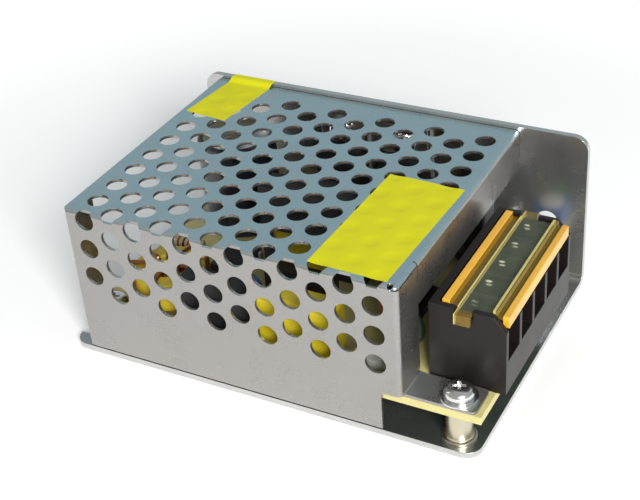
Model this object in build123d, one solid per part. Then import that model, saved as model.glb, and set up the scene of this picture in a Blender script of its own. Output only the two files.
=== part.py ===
from build123d import *
import math
import os

# Lengths are millimetres. The origin is the centre of the floor's underside,
# +X runs towards the terminal block, +Y towards the back wall and +Z is up.

# Chassis: a floor and a back wall folded from one sheet
base_length = 85.0
base_width = 58.0
wall_height = 33.4
base_sheet = 1.2
base_bend = 1.5  # inner radius
base_corner = 3.0
edge_slot_width = 3.5
edge_slot_depth = 5.0
edge_slot_from_front = 4.8
wall_hole_radius = 2.1
wall_hole_from_right = 7.7
wall_hole_height = 13.6

# The parts inside suit a case of this size, and a smaller case takes smaller parts
usual_length = 85.0
usual_width = 58.0
usual_height = 33.4
part_scale = min(base_length / usual_length, base_width / usual_width, wall_height / usual_height)
round_sides = 8  # flats of the small round parts and holes

# Mesh cover: one thin folded sheet
cover_sheet = 0.6
cover_bend = 1.0  # outer radius of the foot's bend
cover_bevel = 0.6  # the long folds, drawn as bevels
cover_from_left = 3.9
cover_from_right = 13.7
cover_below_wall = 0.7
cover_back_gap = 0.2
cover_floor_gap = 0.3
end_strip_width = 8.0
end_fold_height = 8.5
fold_slit = 0.3
relief_radius = 0.6
relief_from_right = 1.5
foot_length = 13.2
foot_width = 6.7
foot_corner = 1.0
notch_width = 3.9
notch_above_board = 0.3

# Perforation: staggered rows, punched before the sheet is folded
hole_radius = 2.0
hole_pitch = 6.1
hole_sides = 8
hole_end_margin = 2.5
hole_back_margin = 3.0
front_rows = 3
top_row_start = 4.8  # from the front face to the first hole of an even column
front_row_start = 1.7  # from the top face to the first hole of an even column

# Circuit board and its standoffs
board_sheet = 1.6
board_side_gap = 0.5
board_front_gap = 0.3
board_back_gap = 1.3
board_overhang = 0.5
standoff_height = 6.5
standoff_radius = 2.4
standoff_flare = 3.1
standoff_rim = 0.5
standoff_flare_height = 0.9
board_hole_inset = 3.4
back_hole_from_right = 16.5
board_notch_length = 6.2
board_notch_from_block = 0.6
foot_hole_from_right = 5.2
foot_hole_from_front = 3.1

# Machine screws
screw_radius = 1.45
screw_fit = 0.05
screw_pass = 0.25
screw_head_radius = 2.75
screw_head_height = 2.0
screw_length = 5.5
screw_edge = 0.7
recess_width = 0.8
recess_share = 0.75  # of the flat of the head
recess_depth = 1.1
washer_radius = 3.4
washer_sheet = 0.5

# Terminal block
terminal_pitch = 6.35 * part_scale
terminal_ways = 5
rib_sheet = 1.1
block_depth = 14.1
block_overhang = 2.2
block_from_washer = 0.6
sill_height = 6.7
bay_height = 6.4
rib_step = 1.5
rib_height = 7.9
end_panel_height = 9.2
end_panel_slope = 2.4
block_back_sheet = 1.5
screw_from_block_back = 5.2
well_radius = 1.8
well_depth = 5.4

# Contacts and clamps, one set for each bay
contact_sheet = 0.9
contact_width = 4.7 * part_scale
contact_length = 9.4
pin_width = 1.2
pin_sheet = 0.8
pin_below_board = 1.3
clamp_sheet = 0.8
clamp_width = 4.8 * part_scale
clamp_length = 6.6
clamp_gap = 0.15
terminal_head_radius = 2.3 * part_scale
terminal_head_height = 2.1
terminal_screw_length = 5.2
fit_gap = 0.1

# Clear guard over the block
guard_end_gap = 0.2
guard_seat_gap = 0.15
guard_sheet = 0.7
guard_from_block_back = 2.0
guard_lip_sheet = 1.2
guard_lip_drop = 1.35
guard_lip_rise = 0.15
guard_ridge_width = 1.4
guard_ridge_rise = 0.85
guard_trough_width = 1.4
guard_trough_depth = 0.2
guard_bead_width = 0.35
guard_bead_rise = 0.25
guard_groove_width = 0.7
guard_inner_ridge_width = 1.1
tongue_width = 3.0
tongue_from_block_back = 4.9
tongue_drop = 2.2
tongue_sheet = 0.8

# Stickers
sticker_sheet = 0.12
large_sticker_size = (15.0, 31.3)
large_sticker_turn = -1.8
large_sticker_from_right = 9.4
large_sticker_from_front = 17.0
seal_sticker_width = 9.7
seal_sticker_length = 17.5
seal_sticker_turn = -6.5
seal_sticker_from_left = 6.9

# Electronic parts: each place is a share of the room under the cover and of the board's width
transformer_place = (0.544, 0.524)
core_length = 22.0 * part_scale
core_width = 6.0 * part_scale
core_leg = 3.6 * part_scale
core_stand = 1.0
core_headroom = 4.0
bobbin_width = 19.0 * part_scale
bobbin_sheet = 0.8
pin_block_width = 3.2 * part_scale
winding_gap = 0.3
winding_corner = 2.0
mains_capacitor_place = (0.181, 0.734)
mains_capacitor_radius = 8.0 * part_scale
tall_part_headroom = 2.4
output_capacitor_places = ((0.796, 0.817), (0.935, 0.817))
output_capacitor_radius = 4.0 * part_scale
output_capacitor_height = 14.0
can_edge = 0.8
input_choke_place = (0.868, 0.432)
choke_core_length = 15.0 * part_scale
choke_core_height = 12.0
choke_core_bar = 3.2 * part_scale
choke_coil_radius = 3.4 * part_scale
choke_coil_gap = 0.3
choke_stand_width = 6.5 * part_scale
choke_stand = 1.0
safety_capacitor_place = (0.664, 0.115)
safety_capacitor_size = (15.0 * part_scale, 6.0 * part_scale, 11.0)
disc_capacitor_place = (0.431, 0.235)
disc_capacitor_radius = 3.4 * part_scale
disc_capacitor_sheet = 3.0 * part_scale
fuse_place = (0.901, 0.093)
fuse_radius = 1.9 * part_scale
fuse_length = 9.0 * part_scale
fuse_cap = 2.2 * part_scale
thermistor_place = (0.929, 0.215)
thermistor_radius = 4.2 * part_scale
thermistor_sheet = 3.4 * part_scale
bridge_place = (0.423, 0.079)
bridge_size = (14.0 * part_scale, 3.8 * part_scale, 10.0)
bridge_bevel = 2.5
bridge_stand = 2.0
output_choke_place = (0.196, 0.185)
ring_radius = 7.0 * part_scale
ring_bore = 3.6 * part_scale
ring_height = 6.4
ring_turns = 9
ring_wire = 1.0 * part_scale
chip_place = (0.302, 0.423)
chip_size = (6.4 * part_scale, 9.4 * part_scale, 3.4)
chip_legs = 4
optocoupler_place = (0.544, 0.799)
optocoupler_size = (6.4 * part_scale, 4.6 * part_scale, 3.5)
optocoupler_legs = 2
leg_pitch = 2.54 * part_scale
leg_sheet = 0.5 * part_scale
leg_rise = 0.8
resistor_places = ((0.113, 0.39), (0.113, 0.47))
resistor_radius = 1.3 * part_scale
resistor_length = 6.4 * part_scale
diode_places = ((0.403, 0.775), (0.403, 0.855))
diode_radius = 1.4 * part_scale
diode_length = 5.0 * part_scale
axial_span = 10.0 * part_scale
lead_sheet = 0.7
disc_stand = 1.2
transistor_shares = (0.438, 0.65)
transistor_size = (10.0 * part_scale, 4.4, 9.2 * part_scale)
transistor_tab = (6.4 * part_scale, 1.3)  # height above the case, sheet
transistor_pitch = 2.54 * part_scale
transistor_headroom = 2.2
pad_sheet = 0.3
pad_margin = 0.6
trimmer_from_right = 9.6
trimmer_from_lamp = 0.95
trimmer_size = 6.4 * part_scale
trimmer_height = 4.4
rotor_radius = 2.4 * part_scale
rotor_rise = 0.9
rotor_seat = 1.6
rotor_gap = 0.1
rotor_slot = (0.7, 3.4 * part_scale, 0.7)  # width, length, depth
lamp_from_right = 9.6
lamp_from_block = 3.2 * part_scale
lamp_radius = 1.5 * part_scale
lamp_tip_radius = 1.1 * part_scale
lamp_flange = 1.9 * part_scale
lamp_flange_sheet = 0.9
lamp_height = 5.2

# Places worked out from the sizes above
left = -base_length / 2
right = base_length / 2
front = -base_width / 2
back = base_width / 2
wall_face = back - base_sheet
cover_left = left + cover_from_left
cover_right = right - cover_from_right
cover_length = cover_right - cover_left
cover_top = wall_height - cover_below_wall
cover_under = cover_top - cover_sheet
cover_back = wall_face - cover_back_gap
column_step = hole_pitch * math.sqrt(3) / 2
column_room = cover_length - 2 * (hole_end_margin + hole_radius)
hole_columns = math.floor(column_room / column_step) + 1
row_room = cover_back - front - top_row_start - hole_radius - hole_back_margin
top_rows = math.floor(row_room / hole_pitch) + 1
board_under = base_sheet + standoff_height
board_top = board_under + board_sheet
board_left = cover_left + cover_sheet + board_side_gap
board_right = right + board_overhang
board_front = front + cover_sheet + board_front_gap
board_back = wall_face - board_back_gap
foot_hole = (board_right - foot_hole_from_right, board_front + foot_hole_from_front)
board_holes = [
    (board_left + board_hole_inset, board_front + board_hole_inset),
    (board_left + board_hole_inset, board_back - board_hole_inset),
    (board_right - back_hole_from_right, board_back - board_hole_inset),
]
screw_hole_radius = screw_radius + screw_pass
cover_room = cover_under - board_top
core_window_height = cover_room - core_headroom - core_stand - 2 * core_leg
transistor_low = cover_under - transistor_headroom - transistor_tab[0] - transistor_size[2]

block_near = foot_hole[1] + washer_radius + block_from_washer
block_far = block_near + terminal_ways * terminal_pitch + rib_sheet
block_face = right + block_overhang
block_back = block_face - block_depth
sill_top = board_top + sill_height
rib_top = sill_top + rib_height
end_panel_top = sill_top + end_panel_height
contact_top = sill_top + contact_sheet
clamp_top = contact_top + clamp_sheet
terminal_x = block_back + screw_from_block_back
bay_middles = [block_near + rib_sheet / 2 + terminal_pitch * (way + 0.5) for way in range(terminal_ways)]
guard_under = rib_top + guard_seat_gap
guard_top = guard_under + guard_sheet
tongue_left = block_back + tongue_from_block_back
pin_x = block_back + block_back_sheet + pin_sheet / 2 + fit_gap


def box_between(low, high):
    size = [top - bottom for bottom, top in zip(low, high)]
    return Pos(*low) * Box(*size, align=(Align.MIN, Align.MIN, Align.MIN))


def box_on(x, y, z, size):
    return Pos(x, y, z) * Box(*size, align=(Align.CENTER, Align.CENTER, Align.MIN))


def cylinder(start, end, radius):
    # A true round bar between two points
    along = Vector(*end) - Vector(*start)
    plane = Plane(origin=start, z_dir=along)
    return plane * Cylinder(radius, along.length, align=(Align.CENTER, Align.CENTER, Align.MIN))


def bar(start, end, radius, hollow=False):
    # A round bar drawn with flats between two points, or the hole for one, which clears it all round
    along = Vector(*end) - Vector(*start)
    outline = RegularPolygon(radius, round_sides, major_radius=not hollow)
    return extrude(Plane(origin=start, z_dir=along) * outline, amount=along.length)


def post(x, y, low, high, radius):
    return bar((x, y, low), (x, y, high), radius)


def bore(x, y, low, high, radius):
    return bar((x, y, low), (x, y, high), radius, hollow=True)


def rounded_face(points, radii):
    return Face(Wire(FilletPolyline(*points, radius=radii, close=True).edges()))


def section_along_x(points, low, high, radii=None):
    # An outline in y and z, carried from low to high along x
    corners = [(low, y, z) for y, z in points]
    face = rounded_face(corners, radii) if radii else Face(Wire.make_polygon(corners))
    return extrude(face, amount=high - low, dir=(1, 0, 0))


def section_along_y(points, low, high, radii=None):
    # An outline in x and z, carried from low to high along y
    corners = [(x, low, z) for x, z in points]
    face = rounded_face(corners, radii) if radii else Face(Wire.make_polygon(corners))
    return extrude(face, amount=high - low, dir=(0, 1, 0))


def turned(x, y, levels):
    # An upright turned form drawn with flats, from its radius at each height
    steps = [2 * math.pi * side / round_sides for side in range(round_sides + 1)]
    rings = []
    for radius, z in levels:
        rings.append([(x + radius * math.cos(step), y + radius * math.sin(step), z) for step in steps])
    outlines = [rings[0][:-1], rings[-1][:-1]]
    for low, high in zip(rings, rings[1:]):
        for side in range(round_sides):
            outlines.append([low[side], low[side + 1], high[side + 1], high[side]])
    return Solid(Shell([Face(Wire.make_polygon(outline)) for outline in outlines]))


def on_board(share):
    x = cover_left + cover_sheet + share[0] * (cover_length - 2 * cover_sheet)
    y = board_front + share[1] * (board_back - board_front)
    return x, y


def lead(x, y, top):
    # A square wire from a part down to the board
    return box_on(x, y, board_top, (lead_sheet, lead_sheet, top - board_top))


def cross_recess(head_radius, top):
    low = top - recess_depth
    span = 2 * recess_share * (head_radius - screw_edge)
    bars = box_on(0, 0, low, (span, recess_width, recess_depth))
    return bars + box_on(0, 0, low, (recess_width, span, recess_depth))


def pan_screw(x, y, seat, head_radius, head_height, length):
    # A screw whose head rests on the height called seat
    levels = [
        (head_radius, 0),
        (head_radius, head_height - screw_edge),
        (head_radius - screw_edge, head_height),
    ]
    return Pos(x, y, seat) * (turned(0, 0, levels) + post(0, 0, -length, 0, screw_radius))


def make_base_chassis():
    outer_bend = base_bend + base_sheet
    outline = [
        (front, 0),
        (back, 0),
        (back, wall_height),
        (wall_face, wall_height),
        (wall_face, base_sheet),
        (front, base_sheet),
    ]
    sheet = section_along_x(outline, left, right, (0, outer_bend, 0, 0, base_bend, 0))
    sheet = fillet(sheet.edges().filter_by(Axis.Z).group_by(Axis.Y)[0], base_corner)
    sheet = fillet(sheet.edges().filter_by(Axis.Y).group_by(Axis.Z)[-1], base_corner)
    slot_middle = front + edge_slot_from_front
    slot_end = left + edge_slot_depth - edge_slot_width / 2
    low = (left - 1, slot_middle - edge_slot_width / 2, -1)
    slot = box_between(low, (slot_end, slot_middle + edge_slot_width / 2, base_sheet + 1))
    round_ends = (slot_end, slot_middle, -1), (slot_end, slot_middle, base_sheet + 1)
    slot += cylinder(*round_ends, edge_slot_width / 2)
    hole_x = right - wall_hole_from_right
    hole_ends = (hole_x, wall_face - 1, wall_hole_height), (hole_x, back + 1, wall_hole_height)
    hole = cylinder(*hole_ends, wall_hole_radius)
    return sheet - slot - hole


def hole_cutters():
    # Polygon cutters for the staggered holes of the top and of the front
    first = cover_left + (cover_length - (hole_columns - 1) * column_step) / 2
    disc = RegularPolygon(hole_radius, hole_sides)
    cutters = []
    for column in range(hole_columns):
        x = first + column * column_step
        odd = column % 2
        for row in range(top_rows + odd):
            y = front + top_row_start + (row - odd / 2) * hole_pitch
            plane = Plane(origin=(x, y, cover_top - cover_bend), z_dir=(0, 0, 1))
            cutters.append(extrude(plane * disc, amount=cover_bend + 1))
        for row in range(front_rows):
            z = cover_top - front_row_start - (row + odd / 2) * hole_pitch
            plane = Plane(origin=(x, front + cover_bend, z), x_dir=(1, 0, 0), z_dir=(0, -1, 0))
            cutters.append(extrude(plane * disc, amount=cover_bend + 1))
    return cutters


def make_mesh_cover():
    low_edge = base_sheet + cover_floor_gap
    inner_bend = cover_bend - cover_sheet
    outer = box_between((cover_left, front, low_edge), (cover_right, cover_back, cover_top))
    low = (cover_left + cover_sheet, front + cover_sheet, low_edge - 1)
    inner = box_between(low, (cover_right - cover_sheet, cover_back + 1, cover_under))

    def folds(solid):
        # The front corners, the front top fold and the right-hand top fold
        upright = solid.edges().filter_by(Axis.Z).group_by(Axis.Y)[0]
        along = solid.edges().filter_by(Axis.X).group_by(Axis.Z)[-1].group_by(Axis.Y)[0]
        across = solid.edges().filter_by(Axis.Y).group_by(Axis.Z)[-1].group_by(Axis.X)[-1]
        return upright + along + across

    inner_bevel = cover_bevel - cover_sheet * (2 - math.sqrt(2))
    sheet = chamfer(folds(outer), cover_bevel) - chamfer(folds(inner), inner_bevel)
    strip_back = front + end_strip_width
    fold_low = cover_top - end_fold_height
    slit_low = cover_under - fold_slit
    foot_top = board_top + cover_sheet
    notch_top = board_top + notch_above_board
    right_in = cover_right - cover_bend
    left_in = cover_left + cover_sheet
    relief_x = cover_right - relief_from_right
    past = 1.0
    openings = [
        # Left end: open behind the strip, whose top is cut free
        ((cover_left - past, strip_back, 0), (left_in, cover_back + past, cover_under)),
        ((cover_left - past, front + cover_bend, slit_low), (left_in, strip_back, cover_under)),
        ((cover_left - past, front + cover_bend, 0), (left_in, strip_back, foot_top)),
        # Right end: a fold along the top, cut from the strip beside it
        ((right_in, strip_back, 0), (cover_right + past, cover_back + past, fold_low)),
        ((right_in, strip_back, fold_low), (cover_right + past, strip_back + fold_slit, cover_top + past)),
        ((relief_x, front - past, slit_low), (cover_right + past, strip_back, cover_under)),
        ((right_in, front + cover_bend, 0), (cover_right + past, strip_back, foot_top)),
        # Corner notch beside the foot
        ((cover_right - notch_width, front - past, 0), (cover_right + past, front + cover_bend, notch_top)),
    ]
    for low, high in openings:
        sheet -= box_between(low, high)
    sheet -= post(relief_x, front + cover_sheet, slit_low, cover_top + past, relief_radius)
    sheet -= hole_cutters()

    # The strip's lower end turns outwards as a foot on the board
    foot_near = front + cover_bend
    foot_outline = [
        (cover_right - cover_sheet, board_top),
        (cover_right + foot_length, board_top),
        (cover_right + foot_length, foot_top),
        (cover_right, foot_top),
        (cover_right, foot_top + 2 * cover_bend),
        (cover_right - cover_sheet, foot_top + 2 * cover_bend),
    ]
    radii = (cover_bend, 0, 0, inner_bend, 0, 0)
    foot = section_along_y(foot_outline, foot_near, foot_near + foot_width, radii)
    foot = fillet(foot.edges().filter_by(Axis.Z).group_by(Axis.X)[-1], foot_corner)
    foot -= bore(*foot_hole, board_top - 1, foot_top + 1, screw_hole_radius)
    return sheet + foot


def make_circuit_board():
    board = box_between((board_left, board_front, board_under), (board_right, board_back, board_top))
    notch_low = (board_right - board_notch_length, block_far + board_notch_from_block, board_under - 1)
    holes = [box_between(notch_low, (board_right + 1, board_back + 1, board_top + 1))]
    for x, y in board_holes + [foot_hole]:
        holes.append(bore(x, y, board_under - 1, board_top + 1, screw_hole_radius))
    pin_size = (pin_sheet + 2 * fit_gap, pin_width + 2 * fit_gap, board_sheet + 2)
    for y in bay_middles:
        holes.append(box_on(pin_x, y, board_under - 1, pin_size))
    return board - holes


def make_standoffs():
    # Turned posts, flared where they are set in the floor
    levels = [
        (standoff_flare, base_sheet),
        (standoff_flare, base_sheet + standoff_rim),
        (standoff_radius, base_sheet + standoff_flare_height),
        (standoff_radius, board_under),
    ]
    standoffs = []
    for x, y in board_holes + [foot_hole]:
        thread = bore(x, y, board_top - screw_length, board_under + 1, screw_radius + screw_fit)
        standoffs.append(turned(x, y, levels) - thread)
    return standoffs


def make_board_screws():
    return [
        pan_screw(x, y, board_top, screw_head_radius, screw_head_height, screw_length - screw_pass)
        for x, y in board_holes
    ]


def make_foot_washer():
    low = board_top + cover_sheet
    ring = post(*foot_hole, low, low + washer_sheet, washer_radius)
    return ring - bore(*foot_hole, low - 1, low + washer_sheet + 1, screw_hole_radius)


def make_foot_screw():
    seat = board_top + cover_sheet + washer_sheet
    screw = pan_screw(*foot_hole, seat, screw_head_radius, screw_head_height, screw_length - screw_pass)
    return screw - Pos(*foot_hole, seat) * cross_recess(screw_head_radius, screw_head_height)


def make_terminal_housing():
    housing = box_between((block_back, block_near, board_top), (block_face, block_far, sill_top))
    back_high = (block_back + block_back_sheet, block_far, end_panel_top)
    housing += box_between((block_back, block_near, sill_top), back_high)
    rib = [
        (block_back, sill_top),
        (block_face, sill_top),
        (block_face, sill_top + bay_height),
        (block_face - rib_step, sill_top + bay_height),
        (block_face - rib_step, rib_top),
        (block_back, rib_top),
    ]
    end_panel = [
        (block_back, sill_top),
        (block_face, sill_top),
        (block_face, sill_top + bay_height),
        (block_face - end_panel_slope, end_panel_top),
        (block_back, end_panel_top),
    ]
    for way in range(terminal_ways + 1):
        low = block_near + way * terminal_pitch
        outline = rib if 0 < way < terminal_ways else end_panel
        housing += section_along_y(outline, low, low + rib_sheet)
    tongue_high = (tongue_left + tongue_width + guard_end_gap, block_far + 1, end_panel_top + 1)
    tongue_low = (tongue_left - guard_end_gap, block_near - 1, rib_top - guard_seat_gap)
    tongue_way = box_between(tongue_low, tongue_high)
    inner_low = (tongue_low[0], block_near + rib_sheet, tongue_low[2])
    inner_high = (tongue_high[0], block_far - rib_sheet, tongue_high[2])
    housing -= tongue_way - box_between(inner_low, inner_high)
    pin_size = (pin_sheet + 2 * fit_gap, pin_width + 2 * fit_gap, sill_top - board_top + 2)
    for y in bay_middles:
        housing -= bore(terminal_x, y, sill_top - well_depth, sill_top + 1, well_radius)
        housing -= box_on(pin_x, y, board_top - 1, pin_size)
    return housing


def make_contact(y):
    # A flat seat for the wire, with a pin that is soldered in the board
    low = pin_x - pin_sheet / 2
    seat = box_between(
        (low, y - contact_width / 2, sill_top), (low + contact_length, y + contact_width / 2, contact_top)
    )
    foot = board_under - pin_below_board
    pin = box_on(pin_x, y, foot, (pin_sheet, pin_width, sill_top - foot))
    return seat + pin - bore(terminal_x, y, sill_top - 1, contact_top + 1, screw_radius + screw_fit)


def make_clamp(y):
    plate = box_on(terminal_x, y, contact_top, (clamp_length, clamp_width, clamp_sheet))
    plate = chamfer(plate.edges().filter_by(Axis.Z), clamp_sheet)
    return plate - bore(terminal_x, y, contact_top - 1, clamp_top + 1, screw_radius + clamp_gap)


def make_terminal_screw(y):
    head = terminal_head_radius, terminal_head_height
    screw = pan_screw(terminal_x, y, clamp_top, *head, terminal_screw_length)
    return screw - Pos(terminal_x, y, clamp_top) * cross_recess(*head)


def make_terminal_guard():
    near = block_near + rib_sheet + guard_end_gap
    far = block_far - rib_sheet - guard_end_gap
    low_x = block_back + guard_from_block_back
    ridge_x = low_x + guard_ridge_width
    bead_x = ridge_x + guard_trough_width
    window_x = bead_x + guard_bead_width
    lip_x = block_face - guard_lip_sheet
    inner_ridge_high = lip_x - guard_groove_width
    inner_ridge_low = inner_ridge_high - guard_inner_ridge_width
    ridge_top = guard_top + guard_ridge_rise
    trough = guard_top - guard_trough_depth
    outline = [
        (low_x, guard_under),
        (lip_x, guard_under),
        (lip_x, guard_under - guard_lip_drop),
        (block_face, guard_under - guard_lip_drop),
        (block_face, guard_top + guard_lip_rise),
        (lip_x, guard_top + guard_lip_rise),
        (lip_x, trough),
        (inner_ridge_high, trough),
        (inner_ridge_high, ridge_top),
        (inner_ridge_low, ridge_top),
        (inner_ridge_low, guard_top),
        (window_x, guard_top),
        (window_x, guard_top + guard_bead_rise),
        (bead_x, guard_top + guard_bead_rise),
        (bead_x, trough),
        (ridge_x, trough),
        (ridge_x, ridge_top),
        (low_x, ridge_top),
    ]
    guard = section_along_y(outline, near, far)
    tongue_right = tongue_left + tongue_width
    for inside, outside, way in ((near, block_near, -1), (far, block_far, 1)):
        hook_in = outside + way * guard_end_gap
        hook_out = hook_in + way * tongue_sheet
        hook = [
            (inside, guard_under),
            (hook_in, guard_under),
            (hook_in, guard_top - tongue_drop),
            (hook_out, guard_top - tongue_drop),
            (hook_out, guard_top),
            (inside, guard_top),
        ]
        guard += section_along_x(hook, tongue_left, tongue_right)
    return guard


def make_large_sticker():
    x = cover_right - large_sticker_from_right
    y = front + large_sticker_from_front
    sheet = box_on(0, 0, 0, (*large_sticker_size, sticker_sheet))
    return Pos(x, y, cover_top) * Rot(0, 0, large_sticker_turn) * sheet


def make_seal_sticker():
    # Lies on the cover and climbs on to the wall's top edge
    ramp = cover_back - 2 * cover_below_wall
    sheet = sticker_sheet
    outline = [
        (front, cover_top),
        (ramp, cover_top),
        (wall_face, wall_height),
        (back, wall_height),
        (back, wall_height + sheet),
        (wall_face, wall_height + sheet),
        (ramp, cover_top + sheet),
        (front, cover_top + sheet),
    ]
    x = cover_left + seal_sticker_from_left
    strip = section_along_x(outline, cover_left, cover_right)
    cut_low = (-seal_sticker_width / 2, -seal_sticker_length / 2, cover_top - 1)
    cut_high = (seal_sticker_width / 2, seal_sticker_length, wall_height + 1)
    place = Pos(x, back - seal_sticker_length / 2, 0) * Rot(0, 0, seal_sticker_turn)
    return strip & (place * box_between(cut_low, cut_high))


def make_transformer():
    # A core with a middle leg, a pinned bobbin on that leg and a taped winding
    x, y = on_board(transformer_place)
    core_low = board_top + core_stand
    window_low = core_low + core_leg
    room = core_length - 2 * core_leg
    window = (room - core_width) / 2
    core = box_on(x, y, core_low, (core_length, core_width, core_window_height + 2 * core_leg))
    for side in (-1, 1):
        window_x = x + side * (core_width + window) / 2
        core -= box_on(window_x, y, window_low, (window, core_width + 2, core_window_height))
    tube = core_width + 2 * bobbin_sheet
    flange = (room - 2 * fit_gap, bobbin_width, bobbin_sheet)
    bobbin = box_on(x, y, window_low, (tube, tube, core_window_height))
    bobbin += box_on(x, y, window_low, flange)
    bobbin += box_on(x, y, window_low + core_window_height - bobbin_sheet, flange)
    pin_block = (flange[0], pin_block_width, window_low - board_top)
    for side in (-1, 1):
        bobbin += box_on(x, y + side * (bobbin_width - pin_block_width) / 2, board_top, pin_block)
    leg_way = core_width + 2 * fit_gap
    bobbin -= box_on(x, y, window_low, (leg_way, leg_way, core_window_height))
    winding_height = core_window_height - 2 * bobbin_sheet
    winding_side = room - 2 * winding_gap
    winding = box_on(x, y, window_low + bobbin_sheet, (winding_side, winding_side, winding_height))
    winding = chamfer(winding.edges().filter_by(Axis.Z), winding_corner)
    winding -= box_on(x, y, window_low, (tube, tube, core_window_height))
    return core, bobbin, winding


def make_can(place, radius, height):
    # An electrolytic capacitor: a sleeved can
    high = board_top + height
    levels = [(radius, board_top), (radius, high - can_edge), (radius - can_edge, high)]
    return turned(*on_board(place), levels)


def make_input_choke():
    # An upright rectangular core with a coil on each side leg
    x, y = on_board(input_choke_place)
    length = choke_core_length
    height = choke_core_height
    low = board_top + choke_stand
    core = box_on(x, y, low, (choke_core_bar, length, height))
    window = (choke_core_bar + 2, length - 2 * choke_core_bar, height - 2 * choke_core_bar)
    core -= box_on(x, y, low + choke_core_bar, window)
    coils = []
    coil_low = low + choke_core_bar + choke_coil_gap
    coil_high = low + height - choke_core_bar - choke_coil_gap
    for side in (-1, 1):
        coil_y = y + side * (length - choke_core_bar) / 2
        coil = post(x, coil_y, coil_low, coil_high, choke_coil_radius)
        coils.append(coil - box_on(x, coil_y, low, (choke_core_bar, choke_core_bar, height)))
    stand = box_on(x, y, board_top, (choke_stand_width, length, choke_stand))
    return core, coils, stand


def make_safety_capacitor():
    x, y = on_board(safety_capacitor_place)
    case = box_on(x, y, board_top, safety_capacitor_size)
    return chamfer(case.edges().group_by(Axis.Z)[-1], can_edge)


def make_disc(place, radius, sheet):
    # A flat round part that stands on two wires
    x, y = on_board(place)
    middle = board_top + disc_stand + radius
    disc = bar((x, y - sheet / 2, middle), (x, y + sheet / 2, middle), radius)
    for side in (-1, 1):
        disc += lead(x + side * radius / 2, y, middle)
    return disc


def make_axial(place, radius, length):
    # A lying round part whose wires turn down to the board
    x, y = on_board(place)
    middle = board_top + radius
    part = bar((x - length / 2, y, middle), (x + length / 2, y, middle), radius)
    wire_low = middle - lead_sheet / 2
    part += box_on(x, y, wire_low, (axial_span, lead_sheet, lead_sheet))
    for side in (-1, 1):
        part += lead(x + side * (axial_span - lead_sheet) / 2, y, wire_low + lead_sheet)
    return part


def make_fuse():
    x, y = on_board(fuse_place)
    middle = board_top + fuse_radius
    half = fuse_length / 2
    tube_radius = fuse_radius - 2 * fit_gap
    tube = bar((x - half, y, middle), (x + half, y, middle), tube_radius)
    caps = []
    for side in (-1, 1):
        inner = x + side * (half - fuse_cap)
        outer = x + side * (half + fit_gap)
        cap = bar((inner, y, middle), (outer, y, middle), fuse_radius)
        cap -= bar((inner - side, y, middle), (x + side * half, y, middle), tube_radius)
        cap += lead(x + side * (half + fit_gap + lead_sheet / 2), y, middle)
        caps.append(cap)
    return tube, caps


def make_bridge():
    x, y = on_board(bridge_place)
    length, sheet, height = bridge_size
    low = board_top + bridge_stand
    case = box_on(x, y, low, bridge_size)
    corner = case.edges().filter_by(Axis.Y).group_by(Axis.Z)[-1].sort_by(Axis.X)[-1]
    case = chamfer(corner, bridge_bevel)
    for step in (-1.5, -0.5, 0.5, 1.5):
        case += lead(x + step * length / 4, y, low)
    return case


def make_ring_core():
    x, y = on_board(output_choke_place)
    low = board_top + ring_wire
    ring = post(x, y, low, low + ring_height, ring_radius)
    return ring - bore(x, y, low - 1, low + ring_height + 1, ring_bore)


def make_ring_winding():
    # Square-cornered turns of thick wire round the ring's section
    x, y = on_board(output_choke_place)
    middle = (ring_radius + ring_bore) / 2
    deep = ring_radius - ring_bore + 2 * fit_gap
    outer = box_on(middle, 0, board_top, (deep + 2 * ring_wire, ring_wire, ring_height + 2 * ring_wire))
    inner = box_on(middle, 0, board_top + ring_wire, (deep, ring_wire + 1, ring_height))
    turn = outer - inner
    return [Pos(x, y, 0) * Rot(0, 0, 360 * step / ring_turns) * turn for step in range(ring_turns)]


def make_chip(place, size, legs):
    # A flat package with a row of legs along each long side
    x, y = on_board(place)
    width, length, height = size
    case = box_on(x, y, board_top + leg_rise, (width, length, height - leg_rise))
    for side in (-1, 1):
        for row in range(legs):
            leg_y = y + (row - (legs - 1) / 2) * leg_pitch
            leg_x = x + side * (width + leg_sheet) / 2
            case += box_on(leg_x, leg_y, board_top, (leg_sheet, 2 * leg_sheet, height / 2 + leg_rise))
    return case


def transistor_middle(share):
    return on_board((share, 0))[0]


def make_transistor(share):
    # A power package with its metal tab against the pad on the wall
    x = transistor_middle(share)
    width, sheet, height = transistor_size
    tab_height, tab_sheet = transistor_tab
    tab_back = wall_face - pad_sheet
    low = transistor_low
    high = low + height
    case = box_between((x - width / 2, tab_back - sheet, low), (x + width / 2, tab_back, high))
    tab_low = (x - width / 2, tab_back - tab_sheet, high)
    case += box_between(tab_low, (x + width / 2, tab_back, high + tab_height))
    hole_z = high + tab_height / 2
    case -= bar((x, tab_back - sheet, hole_z), (x, wall_face, hole_z), screw_hole_radius, hollow=True)
    for step in (-1, 0, 1):
        case += lead(x + step * transistor_pitch, tab_back - sheet / 2, low)
    return case


def make_transistor_pad(share):
    x = transistor_middle(share)
    width, sheet, height = transistor_size
    tab_height = transistor_tab[0]
    low = transistor_low
    half = width / 2 + pad_margin
    high = low + height + tab_height
    pad_low = (x - half, wall_face - pad_sheet, low - pad_margin)
    pad = box_between(pad_low, (x + half, wall_face, high + pad_margin))
    hole_z = high - tab_height / 2
    return pad - bar((x, wall_face - 1, hole_z), (x, wall_face + 1, hole_z), screw_hole_radius, hollow=True)


def make_transistor_screw(share):
    # The screw ends in the pad, at the wall's face
    x = transistor_middle(share)
    tab_height, tab_sheet = transistor_tab
    hole_z = transistor_low + transistor_size[2] + tab_height / 2
    length = pad_sheet + tab_sheet
    screw = pan_screw(0, 0, 0, screw_head_radius, screw_head_height, length)
    return Pos(x, wall_face - length, hole_z) * Rot(90, 0, 0) * screw


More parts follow.
